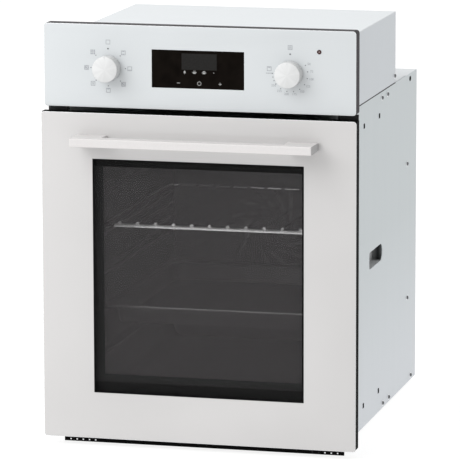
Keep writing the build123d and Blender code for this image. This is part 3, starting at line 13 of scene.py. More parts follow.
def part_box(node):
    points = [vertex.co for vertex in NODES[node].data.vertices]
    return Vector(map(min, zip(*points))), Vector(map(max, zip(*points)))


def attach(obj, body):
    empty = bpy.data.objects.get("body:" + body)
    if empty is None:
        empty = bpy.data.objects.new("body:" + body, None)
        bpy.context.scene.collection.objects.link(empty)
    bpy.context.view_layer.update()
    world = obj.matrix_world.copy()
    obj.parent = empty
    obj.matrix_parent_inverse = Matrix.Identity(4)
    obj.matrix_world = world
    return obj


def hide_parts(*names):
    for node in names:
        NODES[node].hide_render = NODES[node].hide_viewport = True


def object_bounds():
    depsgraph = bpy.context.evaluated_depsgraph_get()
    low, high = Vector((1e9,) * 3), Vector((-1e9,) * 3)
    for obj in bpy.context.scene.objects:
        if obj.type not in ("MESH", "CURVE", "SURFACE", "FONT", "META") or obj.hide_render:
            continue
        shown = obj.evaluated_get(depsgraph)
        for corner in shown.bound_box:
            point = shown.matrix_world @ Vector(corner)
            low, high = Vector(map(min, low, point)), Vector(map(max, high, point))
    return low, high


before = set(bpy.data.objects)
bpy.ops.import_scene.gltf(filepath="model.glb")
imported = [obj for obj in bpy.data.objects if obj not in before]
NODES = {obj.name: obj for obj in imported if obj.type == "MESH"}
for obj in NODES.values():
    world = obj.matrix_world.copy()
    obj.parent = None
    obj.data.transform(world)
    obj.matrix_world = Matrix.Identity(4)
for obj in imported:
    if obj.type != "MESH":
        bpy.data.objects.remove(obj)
CAD_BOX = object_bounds()
MM = 0.001
QUARTER_TURN = math.pi / 2
DIAGONAL = math.pi / 4
SIDES = ((-1, "left"), (1, "right"))

# Camera of the photograph
CAMERA_PLACE = (1.34525, -5.39176, 1.24970)
CAMERA_YAW = math.radians(14.277)
CAMERA_PITCH = math.radians(10.062)
CAMERA_ROLL = math.radians(-0.141)
CAMERA_LENS = 305.5
CAMERA_SENSOR = 36.0
CAMERA_CLIP_END = 50

# Low and high corners of CAD nodes, and the faces that printing and trim sit on
CASE_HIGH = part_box("side_panel_right")[1]
BOX_LOW, BOX_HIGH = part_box("control_box_cover")
PANEL_LOW, PANEL_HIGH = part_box("control_glass")
DISPLAY_LOW, DISPLAY_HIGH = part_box("display_window")
DOOR_LOW, DOOR_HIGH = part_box("door_glass")
PANE_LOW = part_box("door_middle_glass")[0]
HANDLE_LOW, HANDLE_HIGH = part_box("door_handle")
RACK_LOW, RACK_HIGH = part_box("wire_rack")
GRIPS_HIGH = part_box("carry_grips")[1]
TRAY_LOW, TRAY_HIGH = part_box("baking_tray")
TRIM_LOW, TRIM_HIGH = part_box("bottom_vent_trim")
GRILL_LOW, GRILL_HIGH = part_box("grill_element")
FUNCTION_LOW, FUNCTION_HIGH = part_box("function_knob")
HEAT_LOW, HEAT_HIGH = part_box("thermostat_knob")
PILOT_LOW, PILOT_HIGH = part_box("pilot_lamp")
PANEL_Y = PANEL_LOW.y
DOOR_Y = DOOR_LOW.y
CASE_X = CASE_HIGH.x
INK_T = 0.04 * MM


# Materials: ends of the tone ramp, heights of bumps, the shader's own sheen, colour sockets of a mix node
RAMP_START = 0.3
RAMP_END = 0.7
FINE_BUMP = 0.1 * MM
GRAIN_BUMP = 0.2 * MM
USUAL_SHEEN = 0.5
MIX_A = 6
MIX_B = 7
MIX_RESULT = 2


def new_material(name, color, roughness, **sockets):
    """Principled material with plain values; sockets are given by name with underscores for blanks."""
    material = bpy.data.materials.new(name)
    material.use_nodes = True
    shader = material.node_tree.nodes["Principled BSDF"]
    shader.inputs["Base Color"].default_value = (*color, 1.0)
    shader.inputs["Roughness"].default_value = roughness
    for key, value in sockets.items():
        shader.inputs[key.replace("_", " ")].default_value = value
    return material


def object_noise(material, scale, detail=2.0, stretch=(1, 1, 1)):
    """Noise texture in metres, as the node whose Fac drives other sockets."""
    nodes, links = material.node_tree.nodes, material.node_tree.links
    place = nodes.new("ShaderNodeTexCoord")
    mapping = nodes.new("ShaderNodeMapping")
    mapping.inputs["Scale"].default_value = stretch
    noise = nodes.new("ShaderNodeTexNoise")
    noise.inputs["Scale"].default_value = scale
    noise.inputs["Detail"].default_value = detail
    links.new(place.outputs["Object"], mapping.inputs["Vector"])
    links.new(mapping.outputs["Vector"], noise.inputs["Vector"])
    return noise


def height_fade(material, start, end):
    """Value that runs from 0 at one height to 1 at another."""
    nodes, links = material.node_tree.nodes, material.node_tree.links
    place = nodes.new("ShaderNodeTexCoord")
    split = nodes.new("ShaderNodeSeparateXYZ")
    spread = nodes.new("ShaderNodeMapRange")
    spread.inputs["From Min"].default_value = start
    spread.inputs["From Max"].default_value = end
    links.new(place.outputs["Object"], split.inputs["Vector"])
    links.new(split.outputs["Z"], spread.inputs["Value"])
    return spread


def vary_color(material, source, low, high):
    """Base colour between two tones, by the source's first output."""
    nodes, links = material.node_tree.nodes, material.node_tree.links
    ramp = nodes.new("ShaderNodeValToRGB")
    ramp.color_ramp.elements[0].position = RAMP_START
    ramp.color_ramp.elements[1].position = RAMP_END
    ramp.color_ramp.elements[0].color = (*low, 1)
    ramp.color_ramp.elements[1].color = (*high, 1)
    links.new(source.outputs[0], ramp.inputs["Fac"])
    links.new(ramp.outputs["Color"], nodes["Principled BSDF"].inputs["Base Color"])


def vary_roughness(material, source, low, high):
    """Roughness between two values, by the source's first output."""
    nodes, links = material.node_tree.nodes, material.node_tree.links
    spread = nodes.new("ShaderNodeMapRange")
    spread.inputs["To Min"].default_value = low
    spread.inputs["To Max"].default_value = high
    links.new(source.outputs[0], spread.inputs["Value"])
    links.new(spread.outputs["Result"], nodes["Principled BSDF"].inputs["Roughness"])


def add_bump(material, source, strength, distance):
    """Bump from the source's first output; distance in metres."""
    nodes, links = material.node_tree.nodes, material.node_tree.links
    bump = nodes.new("ShaderNodeBump")
    bump.inputs["Strength"].default_value = strength
    bump.inputs["Distance"].default_value = distance
    links.new(source.outputs[0], bump.inputs["Height"])
    links.new(bump.outputs["Normal"], nodes["Principled BSDF"].inputs["Normal"])


def white_glass(name, low, high):
    """Back-printed glass: even white under a clear polished face."""
    material = new_material(name, high, roughness=0.12, Coat_Weight=0.5, Coat_Roughness=0.03)
    vary_color(material, object_noise(material, scale=6.0), low, high)
    vary_roughness(material, object_noise(material, scale=40.0), low=0.10, high=0.16)
    return material


def tinted_glass(name, color, alpha):
    """Clear pane that lets part of what lies behind it through."""
    material = new_material(name, color, roughness=0.03, Alpha=alpha, Specular_IOR_Level=0.3)
    vary_roughness(material, object_noise(material, scale=30.0), low=0.02, high=0.05)
    return material


def dotted_glass(name, low, high, alpha, pitch):
    """Pane with a fine dot print, as on the middle pane of an oven door."""
    material = tinted_glass(name, high, alpha)
    nodes, links = material.node_tree.nodes, material.node_tree.links
    place = nodes.new("ShaderNodeTexCoord")
    dots = nodes.new("ShaderNodeTexVoronoi")
    dots.inputs["Scale"].default_value = 1 / pitch
    dots.inputs["Randomness"].default_value = 0.0
    links.new(place.outputs["Object"], dots.inputs["Vector"])
    vary_color(material, dots, low, high)
    return material


def sheet_metal(name, low, high, light_fade=None):
    """Zinc-coated sheet with faint spangle and rolling streaks, or with painted light: its tones faded between
    two heights.
    """
    material = new_material(name, high, roughness=0.45, Metallic=0.2)
    if light_fade:
        tone = height_fade(material, *light_fade)
    else:
        tone = object_noise(material, scale=9.0, stretch=(1, 1, 0.3))
    vary_color(material, tone, low, high)
    streaks = object_noise(material, scale=160.0, stretch=(1, 0.3, 0.02))
    vary_roughness(material, streaks, low=0.42, high=0.50)
    add_bump(material, object_noise(material, scale=600.0), strength=0.03, distance=FINE_BUMP)
    return material


def spun(name, low, high, center_x, center_z):
    """Turned face: the tone swings with the angle about a centre as a painted sheen, over fine rings."""
    material = new_material(name, high, roughness=0.3)
    nodes, links = material.node_tree.nodes, material.node_tree.links
    place = nodes.new("ShaderNodeTexCoord")
    flat = nodes.new("ShaderNodeMapping")
    flat.inputs["Location"].default_value = (-center_x, 0, -center_z)
    flat.inputs["Scale"].default_value = (1, 0, 1)
    spoke = nodes.new("ShaderNodeVectorMath")
    spoke.operation = "NORMALIZE"
    # Painted sheen: light and dark sectors round the knob's centre
    sheen_spokes = nodes.new("ShaderNodeTexNoise")
    sheen_spokes.inputs["Scale"].default_value = 2.5
    radius = nodes.new("ShaderNodeVectorMath")
    radius.operation = "LENGTH"
    rings = nodes.new("ShaderNodeTexNoise")
    rings.noise_dimensions = "1D"
    rings.inputs["Scale"].default_value = 4000.0
    links.new(place.outputs["Object"], flat.inputs["Vector"])
    links.new(flat.outputs["Vector"], spoke.inputs[0])
    links.new(spoke.outputs["Vector"], sheen_spokes.inputs["Vector"])
    links.new(flat.outputs["Vector"], radius.inputs[0])
    links.new(radius.outputs["Value"], rings.inputs["W"])
    vary_color(material, sheen_spokes, low, high)
    vary_roughness(material, rings, low=0.25, high=0.4)
    return material


def pocket_shade(name, deep, open_tone, corner, reach):
    """Sheet with painted shade, darker towards the deep corner (x, y) of a pocket, on both sides of the case.
    """
    material = new_material(name, open_tone, roughness=0.5, Specular_IOR_Level=0.2)
    nodes, links = material.node_tree.nodes, material.node_tree.links
    place = nodes.new("ShaderNodeTexCoord")
    split = nodes.new("ShaderNodeSeparateXYZ")
    mirror = nodes.new("ShaderNodeMath")
    mirror.operation = "ABSOLUTE"
    flat = nodes.new("ShaderNodeCombineXYZ")
    away = nodes.new("ShaderNodeVectorMath")
    away.operation = "DISTANCE"
    away.inputs[1].default_value = (*corner, 0)
    spread = nodes.new("ShaderNodeMapRange")
    spread.inputs["From Min"].default_value = reach[0]
    spread.inputs["From Max"].default_value = reach[1]
    tone = nodes.new("ShaderNodeMix")
    tone.data_type = "RGBA"
    tone.inputs[MIX_A].default_value = (*deep, 1)
    tone.inputs[MIX_B].default_value = (*open_tone, 1)
    links.new(place.outputs["Object"], split.inputs["Vector"])
    links.new(split.outputs["X"], mirror.inputs[0])
    links.new(mirror.outputs[0], flat.inputs["X"])
    links.new(split.outputs["Y"], flat.inputs["Y"])
    links.new(flat.outputs["Vector"], away.inputs[0])
    links.new(away.outputs["Value"], spread.inputs["Value"])
    links.new(spread.outputs["Result"], tone.inputs[0])
    links.new(tone.outputs[MIX_RESULT], nodes["Principled BSDF"].inputs["Base Color"])
    vary_roughness(material, object_noise(material, scale=120.0), low=0.4, high=0.6)
    return material


def enamel(name, low, high):
    """Vitreous enamel: dark gloss with a slight orange peel."""
    material = new_material(name, high, roughness=0.35, Specular_IOR_Level=0.3)
    vary_color(material, object_noise(material, scale=900.0, detail=1.0), low, high)
    vary_roughness(material, object_noise(material, scale=60.0), low=0.30, high=0.42)
    add_bump(material, object_noise(material, scale=350.0), strength=0.02, distance=FINE_BUMP)
    return material


def grained(name, low, high, rough, scale, bump=0.0, sheen=USUAL_SHEEN):
    """Moulded, printed or coated surface with a fine even grain."""
    material = new_material(name, high, rough[1], Specular_IOR_Level=sheen)
    grain = object_noise(material, scale, detail=3.0)
    vary_color(material, grain, low, high)
    vary_roughness(material, grain, *rough)
    add_bump(material, grain, bump, GRAIN_BUMP)
    return material


def drawn_metal(name, low, high, rough, stretch):
    """Bare metal with fine lines along one direction."""
    material = new_material(name, high, rough[1], Metallic=1.0)
    lines = object_noise(material, scale=500.0, detail=3.0, stretch=stretch)
    vary_color(material, lines, low, high)
    vary_roughness(material, lines, *rough)
    add_bump(material, lines, strength=0.05, distance=FINE_BUMP)
    return material


# Glass
VEIL_DOT_PITCH = 2.2 * MM
PANEL_WHITE = white_glass("panel_white", (0.502, 0.524, 0.536), (0.529, 0.551, 0.563))
DOOR_WHITE = white_glass("door_white", (0.482, 0.474, 0.471), (0.505, 0.497, 0.494))
CLEAR_PANE = tinted_glass("clear_pane", (0.02, 0.02, 0.02), alpha=0.08)
INNER_PANE = tinted_glass("inner_pane", (0.03, 0.03, 0.03), alpha=0.06)
LAMP_GLASS = tinted_glass("lamp_glass", (0.85, 0.87, 0.84), alpha=0.35)
VEIL_PANE = dotted_glass(
    "veil_pane",
    (0.0555, 0.0512, 0.0532),
    (0.0748, 0.0695, 0.0717),
    alpha=0.35,
    pitch=VEIL_DOT_PITCH,
)
# Painted highlight on the light bevel, over the ground edge's own light tone
EDGE_TONE_AND_HIGHLIGHT = grained(
    "glass_edge_and_highlight",
    (0.93, 0.95, 0.96),
    (0.98, 0.99, 1.0),
    rough=(0.08, 0.16),
    scale=200.0,
    bump=0.02,
)
# Painted shade on the faces through a pane's thickness
EDGE_SHADE = grained(
    "edge_shade",
    (0.006, 0.008, 0.008),
    (0.012, 0.014, 0.014),
    rough=(0.2, 0.3),
    scale=300.0,
    sheen=0.02,
)

# Display and printing
DISPLAY_BLACK = grained(
    "display_black",
    (0.0035, 0.0027, 0.0022),
    (0.0065, 0.005, 0.004),
    rough=(0.10, 0.16),
    scale=60.0,
    sheen=0.01,
)
LCD_GREY = grained(
    "lcd_grey",
    (0.012, 0.0116, 0.0110),
    (0.018, 0.0174, 0.0166),
    rough=(0.25, 0.35),
    scale=700.0,
    bump=0.02,
    sheen=0.05,
)
LIT_MARK = grained("lit_mark", (0.25, 0.25, 0.245), (0.33, 0.33, 0.325), rough=(0.4, 0.5), scale=900.0)
GREY_INK = grained("grey_ink", (0.185, 0.195, 0.215), (0.24, 0.25, 0.27), rough=(0.35, 0.5), scale=900.0)
DARK_INK = grained("dark_ink", (0.07, 0.075, 0.08), (0.10, 0.105, 0.11), rough=(0.35, 0.5), scale=900.0)
GREY_PRINT = grained(
    "grey_print",
    (0.015, 0.015, 0.015),
    (0.0205, 0.0205, 0.0205),
    rough=(0.2, 0.3),
    scale=500.0,
    sheen=0.02,
)
BLACK_PRINT = grained(
    "black_print",
    (0.003, 0.003, 0.003),
    (0.006, 0.006, 0.006),
    rough=(0.2, 0.3),
    scale=500.0,
    sheen=0.02,
)

# Paint, plastic, rubber, wool and ceramic
POINTER_GREY = grained(
    "pointer_grey",
    (0.46, 0.465, 0.47),
    (0.52, 0.525, 0.53),
    rough=(0.4, 0.5),
    scale=900.0,
    bump=0.02,
)
HANDLE_WHITE = grained(
    "handle_white",
    (0.545, 0.530, 0.526),
    (0.572, 0.556, 0.552),
    rough=(0.38, 0.48),
    scale=700.0,
    bump=0.05,
)
# Painted shade: a darker grey than the handle's white, for the end faces of the handle
HANDLE_END_SHADE = grained(
    "painted_end_shade",
    (0.375, 0.370, 0.370),
    (0.405, 0.400, 0.400),
    rough=(0.45, 0.55),
    scale=700.0,
    bump=0.05,
)
BLACK_PAINT = grained(
    "black_paint",
    (0.003, 0.003, 0.003),
    (0.007, 0.007, 0.007),
    rough=(0.45, 0.6),
    scale=800.0,
    bump=0.06,
    sheen=0.005,
)
BLACK_PLASTIC = grained(
    "black_plastic",
    (0.030, 0.026, 0.029),
    (0.041, 0.035, 0.040),
    rough=(0.5, 0.65),
    scale=900.0,
    bump=0.10,
    sheen=0.1,
)
PILOT_RED = grained(
    "pilot_red",
    (0.030, 0.009, 0.008),
    (0.045, 0.014, 0.012),
    rough=(0.25, 0.35),
    scale=600.0,
    sheen=0.2,
)
PILOT_CORE = grained(
    "pilot_core",
    (0.20, 0.09, 0.08),
    (0.26, 0.13, 0.11),
    rough=(0.15, 0.25),
    scale=600.0,
    sheen=0.3,
)
RUBBER = grained(
    "seal_rubber",
    (0.010, 0.010, 0.010),
    (0.020, 0.020, 0.020),
    rough=(0.6, 0.8),
    scale=1200.0,
    bump=0.2,
)
WOOL = grained("mineral_wool", (0.45, 0.40, 0.26), (0.70, 0.65, 0.48), rough=(0.9, 1.0), scale=400.0, bump=0.9)
CERAMIC = grained("ceramic", (0.55, 0.53, 0.48), (0.68, 0.66, 0.60), rough=(0.6, 0.75), scale=500.0, bump=0.15)

# Sheet and enamel. A fade is two heights, for the low tone and for the high one; the fades paint light and
# shade by height.
# A reach is two distances from a pocket's corner, for the deep painted shade and for the open tone.
BOX_RIM = 2 * MM
BOX_LIGHT_FADE = (BOX_HIGH.z - BOX_RIM, BOX_HIGH.z)
SIDE_LIGHT_FADE = (0.45, -0.15)
GRIP_DEPTH = 5.5 * MM
GRIP_REAR_Y = 16.5 * MM
GRIP_CORNER = (GRIPS_HIGH.x - GRIP_DEPTH, GRIP_REAR_Y)
GRIP_REACH = (1 * MM, 15 * MM)
ZINC = sheet_metal("zinc", (0.60, 0.625, 0.64), (0.63, 0.655, 0.67))
# Painted light: the control box cover is lighter on its top than on its sides
ZINC_BOX = sheet_metal("zinc_box", (0.558, 0.589, 0.616), (0.615, 0.640, 0.655), BOX_LIGHT_FADE)
# Painted light: the case sides are darker at the top and lighter towards the bottom
ZINC_SIDE = sheet_metal("zinc_side", (0.531, 0.573, 0.587), (0.646, 0.676, 0.707), SIDE_LIGHT_FADE)
ZINC_DULL = sheet_metal("zinc_dull", (0.48, 0.50, 0.50), (0.56, 0.58, 0.58))
# Painted shade in the pockets of the carry grips
GRIP_SHADE = pocket_shade("grip_shade", (0.022, 0.024, 0.025), (0.44, 0.45, 0.455), GRIP_CORNER, GRIP_REACH)
ENAMEL = enamel("black_enamel", (0.014, 0.0135, 0.014), (0.020, 0.0195, 0.020))
FRAME_ENAMEL = enamel("frame_enamel", (0.012, 0.012, 0.013), (0.022, 0.022, 0.023))
# Painted highlight: a lighter grey than the tray's enamel, for the tray's front hem
HEM_HIGHLIGHT = grained(
    "hem_highlight",
    (0.085, 0.083, 0.083),
    (0.115, 0.112, 0.112),
    rough=(0.3, 0.4),
    scale=500.0,
    bump=0.02,
)

# Bare metal, by the direction of its lines
ALONG_Y = (1, 0.05, 1)
ALONG_Z = (1, 1, 0.05)
SHORT_ALONG_Y = (1, 0.1, 1)
EVEN = (1, 1, 1)
STEEL = drawn_metal("dull_steel", (0.36, 0.35, 0.34), (0.50, 0.49, 0.48), (0.30, 0.45), ALONG_Y)
HEATER = drawn_metal("heater_tube", (0.16, 0.15, 0.14), (0.26, 0.25, 0.24), (0.38, 0.55), SHORT_ALONG_Y)
CHROME = drawn_metal("chrome_wire", (0.60, 0.60, 0.60), (0.72, 0.72, 0.72), (0.10, 0.18), ALONG_Y)
ALLOY = drawn_metal("fan_alloy", (0.55, 0.55, 0.56), (0.70, 0.70, 0.71), (0.30, 0.45), ALONG_Z)
DARK_ALLOY = drawn_metal("fan_dark", (0.11, 0.11, 0.11), (0.17, 0.17, 0.17), (0.35, 0.50), ALONG_Z)
SCREW = drawn_metal("screw_zinc", (0.13, 0.135, 0.14), (0.20, 0.205, 0.21), (0.25, 0.40), EVEN)
WASHER = drawn_metal("washer_zinc", (0.80, 0.81, 0.82), (0.92, 0.93, 0.94), (0.25, 0.40), EVEN)
# Painted highlight: a bright matt copy of the rack's chrome, for its front rod and wire tips
RACK_HIGHLIGHT = grained("rod_highlight", (0.84, 0.84, 0.84), (0.92, 0.92, 0.92), rough=(0.25, 0.35), scale=500.0, bump=0.02)

NODE_MATERIALS = {
    ZINC: "rear_top_cover rear_panel control_box_back",
    ZINC_BOX: "control_box_cover",
    ZINC_SIDE: "side_panel_left side_panel_right",
    ZINC_DULL: "base_pan cooling_deck blower_housing lamp_holder hinge_receivers",
    ENAMEL: "cavity_floor cavity_roof cavity_side_left cavity_side_right cavity_back fan_cover baking_tray",
    FRAME_ENAMEL: "front_frame",
    RUBBER: "door_seal",
    GRIP_SHADE: "carry_grips",
    BLACK_PAINT: "bottom_vent_trim door_stile_left door_stile_right door_top_rail door_bottom_rail",
    BLACK_PLASTIC: "control_carrier terminal_block cable_gland selector_switch display_module",
    HANDLE_WHITE: "door_handle",
    VEIL_PANE: "door_middle_glass",
    INNER_PANE: "door_inner_glass",
    STEEL: (
        "hinge_arms hinge_cases selector_shaft thermostat_shaft"
        " convection_motor blower_motor temperature_probe"
    ),
    HEATER: "bottom_element",
    ALLOY: "blower_rotor",
    DARK_ALLOY: "convection_fan",
    WOOL: "insulation_wrap",
    CERAMIC: "thermostat",
    LAMP_GLASS: "lamp_bulb lamp_lens",
}
for node_material, names in NODE_MATERIALS.items():
    for name in names.split():
        NODES[name].data.materials.clear()
        NODES[name].data.materials.append(node_material)


# Mesh tools: steps of round edges, angles in degrees up to which faces are smooth, gaps that are welded
EDGE_STEPS = 3
ROD_STEPS = 4
BEND_STEPS = 8
FLAT_ANGLE = 35
TURNED_ANGLE = 40
ROD_ANGLE = 60
POINT_GAP = 1e-7
CURVE_GAP = 1e-6

# Panes: how far a face leans where the painted edge shade and the highlit bevel start, and their material slots
RIM_STEEP = 0.6
RIM_FLAT = 0.98
HIGHLIGHT_SLOT = 1
SHADE_SLOT = 2

# Steps from one knob groove to the next, and the corners of a square
GROOVE_STEPS = 4
BOX_CORNERS = ((-1, -1), (1, -1), (1, 1), (-1, 1))


def add_piece(name, mesh, material, body, smooth_angle=FLAT_ANGLE):
    """Object for a finished mesh, riding on a body."""
    piece = bpy.data.objects.new(name, mesh)
    bpy.context.scene.collection.objects.link(piece)
    mesh.materials.append(material)
    mesh.shade_smooth()
    mesh.set_sharp_from_angle(angle=math.radians(smooth_angle))
    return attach(piece, body)


def weld(mesh, gap):
    """Join points closer than a gap and turn the normals outwards."""
    work = bmesh.new()
    work.from_mesh(mesh)
    bmesh.ops.remove_doubles(work, verts=work.verts, dist=gap)
    bmesh.ops.recalc_face_normals(work, faces=work.faces)
    work.to_mesh(mesh)
    work.free()


def mesh_from(name, verts, faces):
    """Closed mesh from points and faces."""
    mesh = bpy.data.meshes.new(name)
    mesh.from_pydata(verts, [], faces)
    weld(mesh, POINT_GAP)
    return mesh


def baked(curve):
    """Mesh of a curve, with its seams joined."""
    holder = bpy.data.objects.new(curve.name + ".path", curve)
    bpy.context.scene.collection.objects.link(holder)
    bpy.context.view_layer.update()
    graph = bpy.context.evaluated_depsgraph_get()
    mesh = bpy.data.meshes.new_from_object(holder.evaluated_get(graph))
    bpy.data.objects.remove(holder)
    weld(mesh, CURVE_GAP)
    mesh.materials.clear()
    return mesh


def stand_up(mesh, x, y, z):
    """Turn a mesh drawn in the XY plane to face the user, and move it to its place."""
    mesh.transform(Matrix.Translation((x, y, z)) @ Matrix.Rotation(QUARTER_TURN, 4, "X"))


def plate(name, loops, front_y, back_y, material, body, edge=0.0):
    """Flat plate facing the user. Loops are lists of (x, z): outlines, and holes inside them."""
    curve = bpy.data.curves.new(name, "CURVE")
    curve.dimensions = "2D"
    curve.fill_mode = "BOTH"
    curve.extrude = (back_y - front_y) / 2 - edge
    curve.bevel_depth = edge
    curve.bevel_resolution = EDGE_STEPS
    curve.offset = -edge
    for loop in loops:
        spline = curve.splines.new("POLY")
        spline.points.add(len(loop) - 1)
        spline.use_cyclic_u = True
        for point, (x, z) in zip(spline.points, loop):
            point.co = (x, z, 0, 1)
    mesh = baked(curve)
    stand_up(mesh, 0, (front_y + back_y) / 2, 0)
    return add_piece(name, mesh, material, body)


def pane_rim(pane, low, high, width):
    """Light bevel round a pane's outer edge, its own tone with a painted highlight; painted shade through its
    thickness.
    """
    mesh = pane.data
    mesh.materials.append(EDGE_TONE_AND_HIGHLIGHT)
    mesh.materials.append(EDGE_SHADE)
    for face in mesh.polygons:
        x, z = face.center.x, face.center.z
        inset = min(x - low.x, high.x - x, z - low.z, high.z - z)
        if abs(face.normal.y) < RIM_STEEP:
            face.material_index = SHADE_SLOT
        elif -RIM_FLAT < face.normal.y < 0 and inset < width:
            face.material_index = HIGHLIGHT_SLOT


def tube(name, points, radius, material, body, bend=0.0):
    """Round rod along straight runs, with its corners turned at a bend radius."""
    curve = bpy.data.curves.new(name, "CURVE")
    curve.dimensions = "3D"
    curve.bevel_depth = radius
    curve.bevel_resolution = ROD_STEPS
    curve.use_fill_caps = True
    path = rounded_path(points, bend) if bend else points
    spline = curve.splines.new("POLY")
    spline.points.add(len(path) - 1)
    for point, place in zip(spline.points, path):
        point.co = (*place, 1)
    return add_piece(name, baked(curve), material, body, ROD_ANGLE)


def rounded_path(points, radius):
    """Points of an open path whose inner corners are arcs of one radius."""
    places = [Vector(point) for point in points]
    path = [places[0]]
    for last, corner, following in zip(places, places[1:], places[2:]):
        before = (last - corner).normalized()
        after = (following - corner).normalized()
        half = before.angle(after) / 2
        middle = corner + (before + after).normalized() * radius / math.sin(half)
        start = corner + before * radius / math.tan(half) - middle
        end = corner + after * radius / math.tan(half) - middle
        for step in range(BEND_STEPS + 1):
            spoke = start.normalized().slerp(end.normalized(), step / BEND_STEPS)
            path.append(middle + spoke * radius)
    path.append(places[-1])
    return path


def side_faces(rows, steps):
    """Faces between neighbouring rows of points that each go once round."""
    faces = []
    for row in range(rows - 1):
        for step in range(steps):
            a = row * steps + step
            b = row * steps + (step + 1) % steps
            faces.append((a, b, b + steps, a + steps))
    return faces


def lathe(name, profile, axis_x, axis_z, material, body, steps, tooth=0.0):
    """Solid turned about a line along Y. The profile is (radius, y) from the axis out and back to it.

    Its widest rows are grooved to the tooth's depth, over the second half of every GROOVE_STEPS steps.
    """
    widest = max(radius for radius, y in profile)
    verts = []
    for row_radius, y in profile:
        for step in range(steps):
            angle = 2 * math.pi * step / steps
            grooved = row_radius == widest and step % GROOVE_STEPS >= GROOVE_STEPS / 2
            radius = row_radius - tooth if grooved else row_radius
            verts.append((axis_x + radius * math.sin(angle), y, axis_z + radius * math.cos(angle)))
    mesh = mesh_from(name, verts, side_faces(len(profile), steps))
    return add_piece(name, mesh, material, body, TURNED_ANGLE)


# Outlines
def middle_of(low, high):
    """Middle (x, z) of a box, as the user sees it."""
    return (low.x + high.x) / 2, (low.z + high.z) / 2


def rect(x, z, width, height, turn=0.0):
    """Rectangle as (x, z) points, turned clockwise as the user sees it."""
    c, s = math.cos(turn), math.sin(turn)
    loop = []
    for i, j in BOX_CORNERS:
        across = i * width / 2
        along = j * height / 2
        loop.append((x + across * c + along * s, z - across * s + along * c))
    return loop


def disc(x, z, radius, steps=20):
    """Circle as (x, z) points."""
    angles = [2 * math.pi * step / steps for step in range(steps)]
    return [(x + radius * math.cos(a), z + radius * math.sin(a)) for a in angles]


def rounded(low_x, high_x, low_z, high_z, radius):
    """Rectangle with rounded corners as (x, z) points."""
    loop = []
    corners = ((high_x, high_z), (low_x, high_z), (low_x, low_z), (high_x, low_z))
    for quarter, (corner_x, corner_z) in enumerate(corners):
        center_x = corner_x - math.copysign(radius, corner_x - (low_x + high_x) / 2)
        center_z = corner_z - math.copysign(radius, corner_z - (low_z + high_z) / 2)
        for step in range(BEND_STEPS + 1):
            angle = QUARTER_TURN * (quarter + step / BEND_STEPS)
            loop.append((center_x + radius * math.cos(angle), center_z + radius * math.sin(angle)))
    return loop


def outline(x, z, width, height, line):
    """Two loops of a rectangular line drawing."""
    return [rect(x, z, width, height), rect(x, z, width - 2 * line, height - 2 * line)]


def ring(x, z, radius, line):
    """Two loops of a circular line drawing."""
    return [disc(x, z, radius), disc(x, z, radius - line)]


# Control panel pane
GLASS_R = 4.5 * MM
GLASS_EDGE_R = 0.9 * MM
display_hole = rect(
    *middle_of(DISPLAY_LOW, DISPLAY_HIGH),
    DISPLAY_HIGH.x - DISPLAY_LOW.x,
    DISPLAY_HIGH.z - DISPLAY_LOW.z,
)
panel_loop = rounded(PANEL_LOW.x, PANEL_HIGH.x, PANEL_LOW.z, PANEL_HIGH.z, GLASS_R)
panel_loops = [panel_loop, display_hole[::-1]]
control_pane = plate("control_pane", panel_loops, PANEL_Y, PANEL_HIGH.y, PANEL_WHITE, "case", GLASS_EDGE_R)
pane_rim(control_pane, PANEL_LOW, PANEL_HIGH, GLASS_R)
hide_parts("control_glass")

# Display pane, sunk a little into the panel
DISPLAY_SINK = 0.1 * MM
DISPLAY_Y = PANEL_Y + DISPLAY_SINK
display_pane = plate("display_pane", [display_hole], DISPLAY_Y, DISPLAY_HIGH.y, DISPLAY_BLACK, "case")
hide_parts("display_window")

# Door pane with its window
DOOR_LIFT = 1.0 * MM
WINDOW_X = 149.5 * MM
WINDOW_Z = (77.2 * MM, 406.3 * MM)
BORDER_W = 1.9 * MM
window_z = sum(WINDOW_Z) / 2
window_h = WINDOW_Z[1] - WINDOW_Z[0]
window_loop = rect(0, window_z, 2 * WINDOW_X, window_h)
door_loop = rounded(DOOR_LOW.x, DOOR_HIGH.x, DOOR_LOW.z + DOOR_LIFT, DOOR_HIGH.z, GLASS_R)
door_loops = [door_loop, window_loop[::-1]]
door_pane = plate("door_pane", door_loops, DOOR_Y, DOOR_HIGH.y, DOOR_WHITE, "door", GLASS_EDGE_R)
pane_rim(door_pane, DOOR_LOW, DOOR_HIGH, GLASS_R)
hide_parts("door_glass")
door_window = plate("door_window", [window_loop], DOOR_Y, DOOR_HIGH.y, CLEAR_PANE, "door")
border_loops = outline(0, window_z, 2 * WINDOW_X, window_h, BORDER_W)
plate("window_border", border_loops, DOOR_Y - INK_T, DOOR_Y, BLACK_PRINT, "door")

